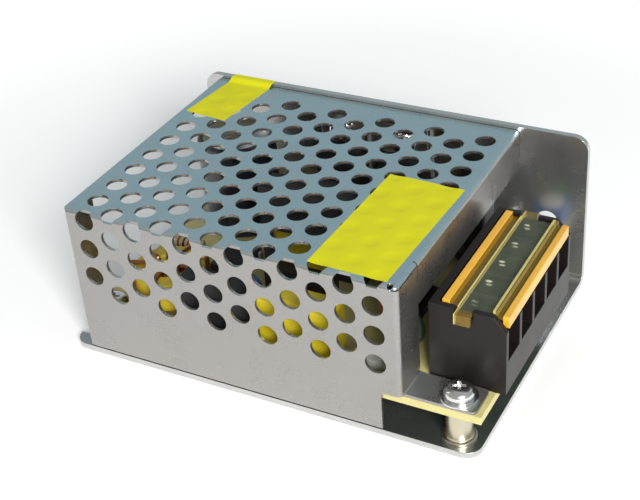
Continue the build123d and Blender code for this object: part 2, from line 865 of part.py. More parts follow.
def lamp_middle():
    return board_right - lamp_from_right, block_far + lamp_from_block


def trimmer_middle():
    lamp_y = lamp_middle()[1]
    return board_right - trimmer_from_right, lamp_y + lamp_flange + trimmer_from_lamp + trimmer_size / 2


def make_trimmer_body():
    x, y = trimmer_middle()
    case = box_on(x, y, board_top, (trimmer_size, trimmer_size, trimmer_height))
    seat = trimmer_height - rotor_seat
    return case - bore(x, y, board_top + seat, board_top + trimmer_height + 1, rotor_radius + rotor_gap)


def make_trimmer_rotor():
    x, y = trimmer_middle()
    low = board_top + trimmer_height - rotor_seat
    high = board_top + trimmer_height + rotor_rise
    width, length, depth = rotor_slot
    return post(x, y, low, high, rotor_radius) - box_on(x, y, high - depth, (length, width, depth + 1))


def make_indicator_lamp():
    x, y = lamp_middle()
    high = board_top + lamp_height
    flange_top = board_top + lamp_flange_sheet
    dome = turned(x, y, [(lamp_radius, flange_top), (lamp_tip_radius, high)])
    return post(x, y, board_top, flange_top, lamp_flange) + dome


def write(name, *solids):
    export_step(solids[0] if len(solids) == 1 else Compound(children=list(solids)), f"parts/{name}.step")


os.makedirs("parts", exist_ok=True)

write("base_chassis", make_base_chassis())
write("mesh_cover", make_mesh_cover())
write("circuit_board", make_circuit_board())
write("standoffs", *make_standoffs())
write("board_screws", *make_board_screws())
write("foot_washer", make_foot_washer())
write("foot_screw", make_foot_screw())
write("terminal_housing", make_terminal_housing())
write("terminal_guard", make_terminal_guard())
for number, middle in enumerate(bay_middles, 1):
    write(f"terminal_contact_{number}", make_contact(middle))
    write(f"terminal_clamp_{number}", make_clamp(middle))
    write(f"terminal_screw_{number}", make_terminal_screw(middle))
write("large_sticker", make_large_sticker())
write("seal_sticker", make_seal_sticker())

core, bobbin, winding = make_transformer()
write("transformer_core", core)
write("transformer_bobbin", bobbin)
write("transformer_winding", winding)
can_height = cover_room - tall_part_headroom
write("mains_capacitor", make_can(mains_capacitor_place, mains_capacitor_radius, can_height))
for number, place in enumerate(output_capacitor_places, 1):
    write(f"output_capacitor_{number}", make_can(place, output_capacitor_radius, output_capacitor_height))
choke_core, choke_coils, choke_foot = make_input_choke()
write("input_choke_core", choke_core)
write("input_choke_coils", *choke_coils)
write("input_choke_stand", choke_foot)
write("safety_capacitor", make_safety_capacitor())
write("disc_capacitor", make_disc(disc_capacitor_place, disc_capacitor_radius, disc_capacitor_sheet))
write("thermistor", make_disc(thermistor_place, thermistor_radius, thermistor_sheet))
fuse_tube, fuse_caps = make_fuse()
write("fuse_tube", fuse_tube)
write("fuse_caps", *fuse_caps)
write("bridge_rectifier", make_bridge())
write("output_choke_core", make_ring_core())
write("output_choke_winding", *make_ring_winding())
write("controller_chip", make_chip(chip_place, chip_size, chip_legs))
write("optocoupler", make_chip(optocoupler_place, optocoupler_size, optocoupler_legs))
write("resistors", *[make_axial(place, resistor_radius, resistor_length) for place in resistor_places])
write("diodes", *[make_axial(place, diode_radius, diode_length) for place in diode_places])
write("switching_transistor", make_transistor(transistor_shares[0]))
write("output_rectifier", make_transistor(transistor_shares[1]))
write("transistor_pads", *[make_transistor_pad(share) for share in transistor_shares])
write("transistor_screws", *[make_transistor_screw(share) for share in transistor_shares])
write("trimmer_body", make_trimmer_body())
write("trimmer_rotor", make_trimmer_rotor())
write("indicator_lamp", make_indicator_lamp())
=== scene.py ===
from math import copysign, cos, hypot, pi, radians, sin, sqrt

import bmesh
import bpy
from mathutils import Matrix, Vector


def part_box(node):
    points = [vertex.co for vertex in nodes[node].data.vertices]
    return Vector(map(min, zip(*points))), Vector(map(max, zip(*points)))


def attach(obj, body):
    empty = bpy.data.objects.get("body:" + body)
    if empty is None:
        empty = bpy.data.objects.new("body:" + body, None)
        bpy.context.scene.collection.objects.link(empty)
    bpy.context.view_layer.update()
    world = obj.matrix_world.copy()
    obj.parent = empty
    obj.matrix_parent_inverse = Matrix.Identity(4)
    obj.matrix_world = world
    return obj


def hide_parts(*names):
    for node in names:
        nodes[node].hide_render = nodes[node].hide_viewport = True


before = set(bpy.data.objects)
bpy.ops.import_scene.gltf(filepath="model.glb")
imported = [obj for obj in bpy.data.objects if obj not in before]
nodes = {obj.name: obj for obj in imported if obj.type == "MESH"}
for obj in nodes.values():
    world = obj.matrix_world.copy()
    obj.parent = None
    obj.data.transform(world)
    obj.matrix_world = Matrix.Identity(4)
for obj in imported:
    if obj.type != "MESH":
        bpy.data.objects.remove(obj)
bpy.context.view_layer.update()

mm = 0.001
tiny, weld = 1e-7, 1e-6  # metres: the same point, and corners to join
print("frame loaded:", len(nodes), "nodes")


class Sizes(dict):
    # a piece's dictionary, its values read by name
    __getattr__ = dict.__getitem__


class Wire:
    # a socket that takes part in sums
    def __init__(self, tree, socket):
        self.tree = tree
        self.socket = socket

    def maths(self, operation, first, second=None):
        node = self.tree.nodes.new("ShaderNodeMath")
        node.operation = operation
        for slot, value in enumerate((first, second)):
            if isinstance(value, Wire):
                self.tree.links.new(value.socket, node.inputs[slot])
            elif value is not None:
                node.inputs[slot].default_value = value
        return Wire(self.tree, node.outputs[0])

    def __floordiv__(self, other):
        return self.maths("FLOOR", self / other)

    def __abs__(self):
        return self.maths("ABSOLUTE", self)

    def least(self, other):
        return self.maths("MINIMUM", self, other)

    def most(self, other):
        return self.maths("MAXIMUM", self, other)


def addSign(sign, operation, bothWays=False):
    # a sign between a socket and another socket or a number
    setattr(Wire, f"__{sign}__", lambda wire, other: wire.maths(operation, wire, other))
    if bothWays:
        setattr(Wire, f"__r{sign}__", lambda wire, other: wire.maths(operation, other, wire))


for sign, operation in (("add", "ADD"), ("sub", "SUBTRACT"), ("mul", "MULTIPLY")):
    addSign(sign, operation, True)
for sign, operation in (("truediv", "DIVIDE"), ("mod", "FLOORED_MODULO"),
                        ("gt", "GREATER_THAN"), ("lt", "LESS_THAN")):
    addSign(sign, operation)


class Graph:
    # makes the nodes of one tree, whose kinds begin alike
    def __init__(self, tree, family="ShaderNode"):
        self.tree = tree
        self.family = family

    def node(self, kind, sockets=None, settings=None, out=0):
        made = self.tree.nodes.new(self.family + kind)
        for name, value in (settings or {}).items():
            setattr(made, name, value)
        for name, value in (sockets or {}).items():
            for single in value if isinstance(value, list) else [value]:
                if isinstance(single, Wire):
                    self.tree.links.new(single.socket, made.inputs[name])
                else:
                    made.inputs[name].default_value = single
        return Wire(self.tree, made.outputs[out])


class Finish(Graph):
    # a material: fixed values go straight to the shader's own sockets
    def __init__(self, name, **fixed):
        self.material = bpy.data.materials.new(name)
        self.material.use_nodes = True
        super().__init__(self.material.node_tree)
        self.shader = self.tree.nodes["Principled BSDF"]
        for key, value in fixed.items():
            self.shader.inputs[key.replace("_", " ")].default_value = value
        self.place = self.node("TexCoord", out="Object")

    def axis(self, letter, wire=None):
        return self.node("SeparateXYZ", {0: wire or self.place}, out=letter)

    def facing(self, letter):
        return self.axis(letter, self.node("NewGeometry", out="Normal"))

    def noise(self, scale, detail=3.0, roughness=0.55, stretch=None):
        place = self.place
        if stretch:
            place = self.node("Mapping", {"Vector": place, "Scale": stretch})
        return self.node("TexNoise", {
            "Vector": place, "Scale": scale, "Detail": detail, "Roughness": roughness})

    def between(self, factor, low, high):
        sockets = {0: factor, 6: low, 7: high}  # the node's colour sockets share their names
        return self.node("Mix", sockets, {"data_type": "RGBA"}, 2)

    def ramp(self, factor, low, high):
        sockets = {"Value": factor, "From Min": low, "From Max": high}
        return self.node("MapRange", sockets, {"interpolation_type": "SMOOTHSTEP"})

    def bump(self, height, depth, strength=1.0):
        self.link("Normal", self.node("Bump", {
            "Height": height, "Distance": depth, "Strength": strength}))

    def link(self, socket, wire):
        self.tree.links.new(wire.socket, self.shader.inputs[socket])

    def dress(self, colour, roughness):
        self.link("Base Color", colour)
        self.link("Roughness", roughness)
        return self.material


def tint(colour, share=1.0):
    return tuple(min(1.0, part * share) for part in colour) + (1.0,)


# finishes
def sheetFinish(name, topReflectionColour, litSideColour, lowFlatReflectionColour, roughness, reflectionAbove=28.0):
    # rolled plated sheet, its colour painted light by facing: a cool painted reflection on the high
    # flats, another painted reflection on the low ones, a lit tone on the uprights
    skin = Finish(name, Metallic=0.92)
    cloud = skin.noise(150, 5, 0.6)
    grain = skin.noise(1500, 2)
    roll = skin.noise(900, 3, 0.6, (0.06, 1.0, 1.0))
    # which faces take the painted reflection colours: up-facing flats, and the high ones among them
    flat = skin.ramp(skin.facing("Z"), 0.35, 0.9)
    top = flat * (skin.axis("Z") > reflectionAbove * mm)

    # painted reflection and light colours by facing, at a share of their strength
    def reflectionByFacing(share):
        low = skin.between(flat, tint(litSideColour, share), tint(lowFlatReflectionColour, share))
        return skin.between(top, low, tint(topReflectionColour, share))

    shade = (0.68 + 0.46 * cloud + 0.12 * grain).least(1.0)
    skin.bump(0.6 * grain + 0.4 * roll, 0.000006, 0.1)
    colour = skin.between(shade, reflectionByFacing(0.6), reflectionByFacing(1.0))
    return skin.dress(colour, roughness - 0.10 + 0.20 * cloud + 0.06 * roll)


def plasticFinish(name, colour, roughness=0.4, speckle=0.2, coat=0.0, shine=0.5):
    skin = Finish(name, Coat_Weight=coat, Coat_Roughness=0.2, Specular_IOR_Level=shine)
    grain = skin.noise(1400, 3)
    cloud = skin.noise(180, 3)
    skin.bump(grain, 0.000012, 0.4)
    dark, pale = tint(colour, 1 - speckle), tint(colour, 1 + speckle)
    shade = skin.between(0.5 * grain + 0.5 * cloud, dark, pale)
    return skin.dress(shade, roughness - 0.06 + 0.12 * cloud)


def metalFinish(name, colour, roughness=0.25, wear=0.25):
    skin = Finish(name, Metallic=1.0)
    cloud = skin.noise(600, 4)
    turning = skin.noise(2600, 2, 0.5, (1.0, 1.0, 0.15))
    skin.bump(turning, 0.000006, 0.3)
    shade = skin.between(cloud, tint(colour, 1 - wear), tint(colour))
    return skin.dress(shade, roughness - 0.05 + 0.14 * cloud + 0.05 * turning)


def boardFinish():
    # pale bare laminate above and at the edges, green lacquer over tracks below
    skin = Finish("boardLaminate", Coat_Weight=0.2, Coat_Roughness=0.3)
    weave = skin.noise(2200, 2)
    patch = skin.noise(260, 2, 0.3)
    track = skin.ramp(patch, 0.50, 0.53)
    lacquer = skin.between(track, tint((0.006, 0.032, 0.014)), tint((0.014, 0.066, 0.026)))
    fleck = 0.6 * weave + 0.4 * patch
    pale = skin.between(fleck, tint((0.42, 0.37, 0.13)), tint((0.62, 0.57, 0.27)))
    under = skin.ramp(-1.0 * skin.facing("Z"), 0.5, 0.8)
    skin.bump(0.3 * weave + track * under, 0.00002, 0.5)
    return skin.dress(skin.between(under, pale, lacquer), 0.55 - 0.20 * under + 0.1 * weave)


def stickerFinish():
    skin = Finish("yellowFilm", Specular_IOR_Level=0.2)
    cloud = skin.noise(160, 4)
    fibre = skin.noise(2400, 2)
    dull, bright = tint((0.53, 0.51, 0.004)), tint((0.61, 0.585, 0.010))
    skin.bump(0.7 * cloud + 0.3 * fibre, 0.00003, 0.4)
    return skin.dress(skin.between(cloud, dull, bright), 0.42 + 0.12 * cloud)


def guardFinish(zones, ends, bays):
    # amber with painted light on the ridge and lip, painted shade in the troughs, thin painted
    # highlight lines at both sides of the window, and a thin, mostly clear window between, tinted
    # dark olive, with a painted glint over each bay
    skin = Finish("clearAmber", IOR=1.49, Coat_Weight=0.5, Coat_Roughness=0.05)
    across, along = skin.axis("X"), skin.axis("Y")
    ridge, trough, bead, window, edge, lip = zones
    swirl = skin.noise(320, 3)
    streak = skin.noise(420, 3, 0.6, (1.0, 0.12, 1.0))
    outside = (across < bead).most(across > window).most(along < ends[0]).most(along > ends[1])
    # painted light on the ridge and the lip; the thin lines at both sides of the window are painted
    # highlights
    bright = (across < ridge).most(across > lip)
    line = ((across > trough) * (across < bead)).most((across > window) * (across < edge))
    bay = (along - bays["first"] + bays["pitch"] / 2) % bays["pitch"] - bays["pitch"] / 2
    aside = 0.6 * (across - bays["middle"])
    # painted highlight over the middle of each bay, standing in for the screws' glints
    glint = skin.ramp(bay * bay + aside * aside, bays["glint"] ** 2, 0.0)
    glint = glint * skin.ramp(swirl, 0.25, 0.6)
    amber = skin.between(streak, tint((0.62, 0.29, 0.012)), tint((0.95, 0.56, 0.060)))
    # painted shade colour in the troughs, painted highlight colour on the thin lines
    colour = skin.between(bright, tint((0.20, 0.125, 0.005)), amber)
    colour = skin.between(line, colour, tint((0.66, 0.54, 0.16)))
    pale = skin.between(swirl, tint((0.08, 0.10, 0.060)), tint((0.19, 0.22, 0.14)))
    pale = skin.between(glint, pale, tint((0.80, 0.80, 0.55)))
    body = outside * (0.26 + 0.34 * bright + 0.24 * line)
    skin.link("Alpha", 0.18 + 0.14 * swirl + 0.5 * glint + body)
    skin.bump(0.5 * swirl + 0.5 * streak, 0.00003, 0.3)
    return skin.dress(skin.between(outside, pale, colour), 0.08 + 0.12 * swirl)


def glassFinish(name, colour, alpha):
    skin = Finish(name, IOR=1.5, Coat_Weight=0.5)
    swirl = skin.noise(500, 2)
    skin.link("Alpha", alpha + 0.1 * swirl)
    shade = skin.between(swirl, tint(colour, 0.8), tint(colour))
    return skin.dress(shade, 0.06 + 0.08 * swirl)


def bandedFinish(name, coat, bands, centre, reach):
    # a lacquered body with colour bands set out along its length
    skin = Finish(name, Coat_Weight=0.3)
    along = (skin.axis("X") - centre) / reach
    grain = skin.noise(1800, 3)
    colour = skin.between(grain, tint(coat, 0.8), tint(coat))
    for place, width, shade in bands:
        colour = skin.between(abs(along - place) < width, colour, tint(shade))
    skin.bump(grain, 0.00001, 0.3)
    return skin.dress(colour, 0.34 + 0.12 * grain)


# the top, upright and low flat colours given here are painted reflections and light, one per facing
zinc = sheetFinish("zincSheet", (0.45, 0.58, 0.62), (0.38, 0.37, 0.355), (0.62, 0.64, 0.62), 0.26)
satin = sheetFinish("satinSheet", (0.60, 0.60, 0.59), (0.56, 0.56, 0.55), (0.40, 0.41, 0.40), 0.22)
brightScrew = metalFinish("brightScrew", (0.86, 0.86, 0.85), 0.14)
platedPost = metalFinish("platedPost", (0.74, 0.68, 0.52), 0.26)
platedClamp = metalFinish("platedClamp", (0.72, 0.72, 0.68), 0.28)
brassStrip = metalFinish("brassStrip", (0.62, 0.50, 0.24), 0.32)
enamelWire = metalFinish("enamelWire", (0.58, 0.25, 0.09), 0.30)
tinned = metalFinish("tinnedWire", (0.70, 0.70, 0.68), 0.30)
canMetal = metalFinish("canMetal", (0.72, 0.73, 0.74), 0.32)
blockPlastic = plasticFinish("darkBlock", (0.0100, 0.0076, 0.0073), 0.34, 0.25, shine=0.26)
ferrite = plasticFinish("ferrite", (0.024, 0.024, 0.027), 0.62, 0.3)
tapeFilm = plasticFinish("yellowTape", (0.34, 0.28, 0.012), 0.20, 0.12, 0.4)
filmCase = plasticFinish("filmCase", (0.62, 0.50, 0.020), 0.34, 0.10, 0.3)
bobbinPlastic = plasticFinish("bobbinPlastic", (0.016, 0.016, 0.016), 0.5)
sleeve = plasticFinish("shrinkSleeve", (0.012, 0.014, 0.022), 0.26, 0.25, 0.4)
discCoat = plasticFinish("discCoat", (0.030, 0.110, 0.320), 0.32, 0.15, 0.3)
thermistorCoat = plasticFinish("thermistorCoat", (0.020, 0.045, 0.022), 0.55, 0.3)
packagePlastic = plasticFinish("packagePlastic", (0.016, 0.016, 0.017), 0.55, 0.3)
ringPaint = plasticFinish("ringPaint", (0.58, 0.44, 0.030), 0.45, 0.15, 0.1)
heatPad = plasticFinish("heatPad", (0.36, 0.38, 0.37), 0.7, 0.12)
trimmerCase = plasticFinish("trimmerCase", (0.020, 0.090, 0.330), 0.36, 0.15, 0.2)
rotorPlastic = plasticFinish("rotorPlastic", (0.66, 0.64, 0.58), 0.5, 0.08)
laminate = boardFinish()
yellowFilm = stickerFinish()
fuseGlass = glassFinish("fuseGlass", (0.75, 0.80, 0.78), 0.22)
lampLens = glassFinish("lampLens", (0.05, 0.50, 0.10), 0.62)
print("finishes ready")


# mesh helpers
def joinPoints(bm, within):
    bmesh.ops.remove_doubles(bm, verts=bm.verts, dist=within)


def meshFrom(bm, name):
    mesh = bpy.data.meshes.new(name)
    bm.to_mesh(mesh)
    bm.free()
    return mesh


def objectFrom(data, name):
    obj = bpy.data.objects.new(name, data)
    bpy.context.scene.collection.objects.link(obj)
    return obj


def pieceFrom(bm, name):
    return objectFrom(meshFrom(bm, name), name)


def evaluated(obj):
    graph = bpy.context.evaluated_depsgraph_get()
    graph.update()
    return bpy.data.meshes.new_from_object(obj.evaluated_get(graph), depsgraph=graph)


def freeze(obj):
    # the evaluated mesh becomes the object's own and the modifiers go
    mesh = evaluated(obj)
    obj.modifiers.clear()
    obj.data = mesh
    return obj


def soften(obj, width, segments=2, angle=38):
    # small round edges in mm, and shading that keeps the flats flat
    if width:
        bevel = obj.modifiers.new("edge", "BEVEL")
        bevel.width = width * mm
        bevel.segments = segments
        bevel.limit_method = "ANGLE"
        bevel.angle_limit = radians(angle)
        freeze(obj)
    obj.data.shade_smooth()
    obj.data.set_sharp_from_angle(angle=radians(angle))
    weigh = obj.modifiers.new("weigh", "WEIGHTED_NORMAL")
    weigh.keep_sharp = True
    return freeze(obj)


def settle(obj, body, slot, replaced, *materials):
    obj.data.materials.clear()
    for material in materials:
        obj.data.materials.append(material)
    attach(obj, body)
    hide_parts(*replaced)
    return obj


def secondFinish(obj, test):
    # faces whose middle passes the test take the second finish
    for face in obj.data.polygons:
        face.material_index = 1 if test(face.center) else 0


def pieceName(node):
    first, *rest = node.split("_")
    return first + "".join(word.title() for word in rest)


def turnedPiece(bm, name, node, slot, *materials, angle=38):
    # a modelled form, smooth but for its sharp edges
    obj = soften(pieceFrom(bm, name), 0, angle=angle)
    return settle(obj, "chassis", slot, [node], *materials)


def nodeMesh(node):
    # the node's triangles, joined at their corners
    bm = bmesh.new()
    bm.from_mesh(nodes[node].data)
    joinPoints(bm, weld)
    return bm


def softPiece(node, material, width, body="chassis", slot=None, segments=2, name=None):
    # the node's own shape, its triangles merged into whole faces and its edges eased
    bm = nodeMesh(node)
    sameFace = radians(0.5)
    bmesh.ops.dissolve_limit(bm, angle_limit=sameFace, verts=bm.verts, edges=bm.edges)
    obj = pieceFrom(bm, name or pieceName(node))
    soften(obj, width, segments)
    return settle(obj, body, slot, [node], material)


def islands(node):
    # lowest and highest corner of each separate solid in a node
    bm = nodeMesh(node)
    left = set(bm.verts)
    boxes = []
    for seed in bm.verts:
        if seed not in left:
            continue
        left.remove(seed)
        queue, found = [seed], []
        while queue:
            vert = queue.pop()
            found.append(vert.co.copy())
            for edge in vert.link_edges:
                other = edge.other_vert(vert)
                if other in left:
                    left.remove(other)
                    queue.append(other)
        low, high = ([pick(co[k] for co in found) for k in range(3)] for pick in (min, max))
        boxes.append((Vector(low), Vector(high)))
    bm.free()
    return boxes


def middle(pair):
    return (pair[0] + pair[1]) / 2


def measure(pair):
    # half the width along x and the height of a box, in mm
    low, high = pair
    return (high.x - low.x) / 2 / mm, (high.z - low.z) / mm


def seat(pair, length=0):
    # the middle of a box's underside, or a length in mm above it
    return middle(pair).x, middle(pair).y, pair[0].z + length * mm


def addBox(bm, low, high):
    for vert in bmesh.ops.create_cube(bm, size=1.0)["verts"]:
        for k in range(3):
            vert.co[k] = (low[k] if vert.co[k] < 0 else high[k]) * mm


def onCircle(radius, k, sides):
    turn = 2 * pi * k / sides
    return radius * mm * cos(turn), radius * mm * sin(turn)


def addLathe(bm, profile, centre=(0, 0, 0), lay=None, sides=36):
    # a closed turned form from (radius, height) pairs in mm, bottom to top, its centre in metres
    rings, made = [], []
    for radius, height in profile:
        turns = range(sides if radius else 1)
        rings.append([bm.verts.new((*onCircle(radius, k, sides), height * mm)) for k in turns])
        made += rings[-1]
    for low, high in zip(rings, rings[1:]):
        for k in range(sides):
            corners = [low[k % len(low)], low[(k + 1) % sides % len(low)],
                       high[(k + 1) % sides % len(high)], high[k % len(high)]]
            bm.faces.new(dict.fromkeys(corners))
    for ring, step in ((rings[0], -1), (rings[-1], 1)):
        if len(ring) > 1:
            bm.faces.new(ring[::step])
    place = Matrix.Translation(centre) @ (lay or Matrix.Identity(4))
    bmesh.ops.transform(bm, matrix=place, verts=made)
    return bm


def addRing(bm, profile, centre=(0, 0, 0), sides=48):
    # a closed ring from an outline of (radius, height) pairs in mm that goes round once
    start = set(bm.faces)
    rows = []
    for k in range(sides):
        rows.append([])
        for radius, height in profile:
            x, y = onCircle(radius, k, sides)
            place = (x + centre[0], y + centre[1], height * mm + centre[2])
            rows[-1].append(bm.verts.new(place))
    for near, far in zip(rows, rows[1:] + rows[:1]):
        for j in range(len(profile)):
            bm.faces.new((near[j - 1], far[j - 1], far[j], near[j]))
    bmesh.ops.recalc_face_normals(bm, faces=list(set(bm.faces) - start))
    return bm


def addWire(bm, points, radius, closed=False):
    # a round wire in mm through the points, which are in metres
    curve = bpy.data.curves.new("wire", "CURVE")
    curve.dimensions = "3D"
    curve.bevel_depth = radius * mm
    curve.bevel_resolution = 2
    curve.use_fill_caps = True
    spline = curve.splines.new("POLY")
    spline.points.add(len(points) - 1)
    for point, place in zip(spline.points, points):
        point.co = (*place, 1.0)
    spline.use_cyclic_u = closed
    guide = objectFrom(curve, "wire")
    bm.from_mesh(evaluated(guide))
    joinPoints(bm, tiny)
    bpy.data.objects.remove(guide)


layAlongX = Matrix.Rotation(pi / 2, 4, "Y")
layAlongY = Matrix.Rotation(-pi / 2, 4, "X")


def addFlatWire(bm, route, y, radius):
    # a wire that bends in x and z only
    addWire(bm, [(x, y, z) for x, z in route], radius)


def quarters(corners, radius, steps):
    # quarter circles round each (across, up, start in degrees), as one outline
    outline = []
    for across, up, start in corners:
        for step in range(steps + 1):
            turn = radians(start + 90 / steps * step)
            outline.append((across + radius * cos(turn), up + radius * sin(turn)))
    return outline


def tidyMesh(obj):
    # points that a cut leaves on top of each other become one, and a lost sliver is filled
    bm = bmesh.new()
    bm.from_mesh(obj.data)
    joinPoints(bm, weld / 2)
    bmesh.ops.dissolve_degenerate(bm, edges=bm.edges, dist=tiny)
    bmesh.ops.holes_fill(bm, edges=[edge for edge in bm.edges if edge.is_boundary], sides=8)
    bm.to_mesh(obj.data)
    bm.free()
    return obj


def cutAway(obj, cutters):
    # one exact boolean with a throwaway cutter
    tool = pieceFrom(cutters, "tool")
    cut = obj.modifiers.new("cut", "BOOLEAN")
    cut.object = tool
    cut.operation = "DIFFERENCE"
    cut.solver = "EXACT"
    freeze(obj)
    bpy.data.objects.remove(tool)
    return tidyMesh(obj)


def boxKnife(low, high):
    knife = bmesh.new()
    addBox(knife, low, high)
    return knife


def geometryTree(name, inputs):
    tree = bpy.data.node_groups.new(name, "GeometryNodeTree")
    shape = {"name": "Geometry", "socket_type": "NodeSocketGeometry"}
    tree.interface.new_socket(in_out="INPUT", **shape)
    for label, kind in inputs:
        tree.interface.new_socket(label, in_out="INPUT", socket_type="NodeSocket" + kind)
    tree.interface.new_socket(in_out="OUTPUT", **shape)
    source = tree.nodes.new("NodeGroupInput")
    given = {socket.name: Wire(tree, socket) for socket in source.outputs if socket.name}
    return Graph(tree, "GeometryNode"), given


def endTree(graph, geometry, material):
    real = graph.node("RealizeInstances", {0: geometry})
    dressed = graph.node("SetMaterial", {"Geometry": real, "Material": material})
    output = graph.tree.nodes.new("NodeGroupOutput")
    graph.tree.links.new(dressed.socket, output.inputs[0])
    return graph.tree


def runTree(obj, tree, values):
    modifier = obj.modifiers.new(tree.name, "NODES")
    modifier.node_group = tree
    for item in tree.interface.items_tree:
        if item.in_out == "INPUT" and item.name in values:
            modifier[item.identifier] = values[item.name]
    return freeze(obj)


# perforated cover
cover = Sizes(
    sheet=0.6, bend=1.0, bendSteps=6, low=1.5, top=32.7, board=9.3,
    left=-38.6, right=28.8, front=-29.0, back=27.6, strip=8.0, fold=8.5,
    slit=0.33, relief=0.58, reliefFromRight=1.5, notch=3.9, notchRise=0.3,
    footLength=13.2, footWidth=6.7, footCorner=1.0, footHole=1.7, footLap=0.02,
    lapHeight=2.0, holeRadius=2.0, holeSides=32, punch=2.14, pitch=6.1,
    columns=12, topRows=8, frontRows=3, topStart=4.8, frontStart=1.7,
    edge=0.07, slip=0.1, bite=0.03, past=1.0, deep=2.0,
)
columnStep = cover.pitch * sqrt(3) / 2
firstColumn = (cover.left + cover.right - (cover.columns - 1) * columnStep) / 2


def isUpright(edge):
    return abs(edge.verts[0].co.z - edge.verts[1].co.z) > tiny


def liesAt(edge, k, level):
    # whether both ends of an edge lie at a level in mm along axis k
    return all(abs(vert.co[k] - level * mm) < tiny for vert in edge.verts)


def roundEdges(bm, edges, radius, steps):
    bmesh.ops.bevel(bm, geom=edges, offset=radius * mm, segments=steps, profile=0.5, affect="EDGES")


def foldedBox(low, high, radius):
    # a box whose front corners and front and right top folds are rounded
    bm = bmesh.new()
    addBox(bm, low, high)
    folds = []
    for edge in bm.edges:
        atFront, atTop = liesAt(edge, 1, low[1]), liesAt(edge, 2, high[2])
        if (atFront and (isUpright(edge) or atTop)) or (atTop and liesAt(edge, 0, high[0])):
            folds.append(edge)
    roundEdges(bm, folds, radius, cover.bendSteps)
    return bm


def footProfile():
    # the strip's end turned outwards, as an outline in x and z
    c = cover
    inner = c.bend - c.sheet
    end, footTop = c.right + c.footLength, c.board + c.sheet
    bendX, bendZ = c.right + inner, footTop + inner
    lap, lapTop = c.footLap, footTop + c.lapHeight
    outside, inside = c.right - lap, c.right - c.sheet + lap
    quarter = [radians(15 * step) for step in range(7)]
    points = [(end, c.board), (end, footTop)]
    for turn in quarter:
        points.append((bendX - inner * sin(turn), bendZ - inner * cos(turn)))
    points += [(outside, bendZ + lap), (outside, lapTop), (inside, lapTop), (inside, bendZ + lap)]
    for turn in quarter:
        points.append((bendX - c.bend * cos(turn), bendZ - c.bend * sin(turn)))
    return points


def makeFoot():
    c = cover
    near, end = c.front + c.bend, c.right + c.footLength
    foot = bmesh.new()
    outline = [foot.verts.new((x * mm, near * mm, z * mm)) for x, z in footProfile()]
    swept = bmesh.ops.extrude_face_region(foot, geom=[foot.faces.new(outline)])["geom"]
    moved = [item for item in swept if isinstance(item, bmesh.types.BMVert)]
    bmesh.ops.translate(foot, vec=(0, c.footWidth * mm, 0), verts=moved)
    bmesh.ops.recalc_face_normals(foot, faces=foot.faces)
    corners = [edge for edge in foot.edges if liesAt(edge, 0, end) and isUpright(edge)]
    roundEdges(foot, corners, c.footCorner, 5)
    sheet = pieceFrom(foot, "foot")
    hole = middle(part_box("foot_washer"))
    knife = bmesh.new()
    bore = [(c.footHole, -c.deep), (c.footHole, c.deep)]
    addLathe(knife, bore, (hole.x, hole.y, c.board * mm), sides=28)
    return cutAway(sheet, knife)


def punchTree(sizes, counts):
    inputs = [(name, "Float") for name in sizes] + [(name, "Int") for name in counts]
    graph, given = geometryTree("punchedHoles", inputs + [("Finish", "Material")])
    sums = Graph(graph.tree)
    index = graph.node("InputIndex")
    punch = graph.node("MeshCylinder", {
        "Vertices": given["Sides"], "Radius": given["Hole Radius"], "Depth": given["Depth"]})

    def staggered(count, place, turn, spareRow=None):
        # columns of punches, the odd ones half a pitch along
        column = index // count
        row = index - column * count
        odd = column % 2
        x = given["First"] + column * given["Step"]
        points = graph.node("Points", {"Count": given["Columns"] * count})
        points = graph.node("SetPosition", {"Geometry": points, "Position": place(x, row, odd)})
        if spareRow:
            spare = (row > spareRow - 0.5) * (odd < 0.5)
            points = graph.node("DeleteGeometry", {"Geometry": points, "Selection": spare})
        return graph.node("InstanceOnPoints", {
            "Points": points, "Instance": punch, "Rotation": turn})

    def onTop(x, row, odd):
        y = given["Top Start"] + (row - odd * 0.5) * given["Pitch"]
        return sums.node("CombineXYZ", {0: x, 1: y, 2: given["Top"]})

    def onFront(x, row, odd):
        z = given["Front Start"] - (row + odd * 0.5) * given["Pitch"]
        return sums.node("CombineXYZ", {0: x, 1: given["Front"], 2: z})

    holes = graph.node("JoinGeometry", {0: [
        staggered(given["Top Rows"] + 1, onTop, (0, 0, 0), given["Top Rows"]),
        staggered(given["Front Rows"], onFront, (pi / 2, 0, 0))]})
    holes = graph.node("RealizeInstances", {0: holes})
    exact = {"operation": "DIFFERENCE", "solver": "EXACT"}
    meshes = {"Mesh 1": given["Geometry"], "Mesh 2": holes}
    punched = graph.node("MeshBoolean", meshes, exact)
    return endTree(graph, punched, given["Finish"])


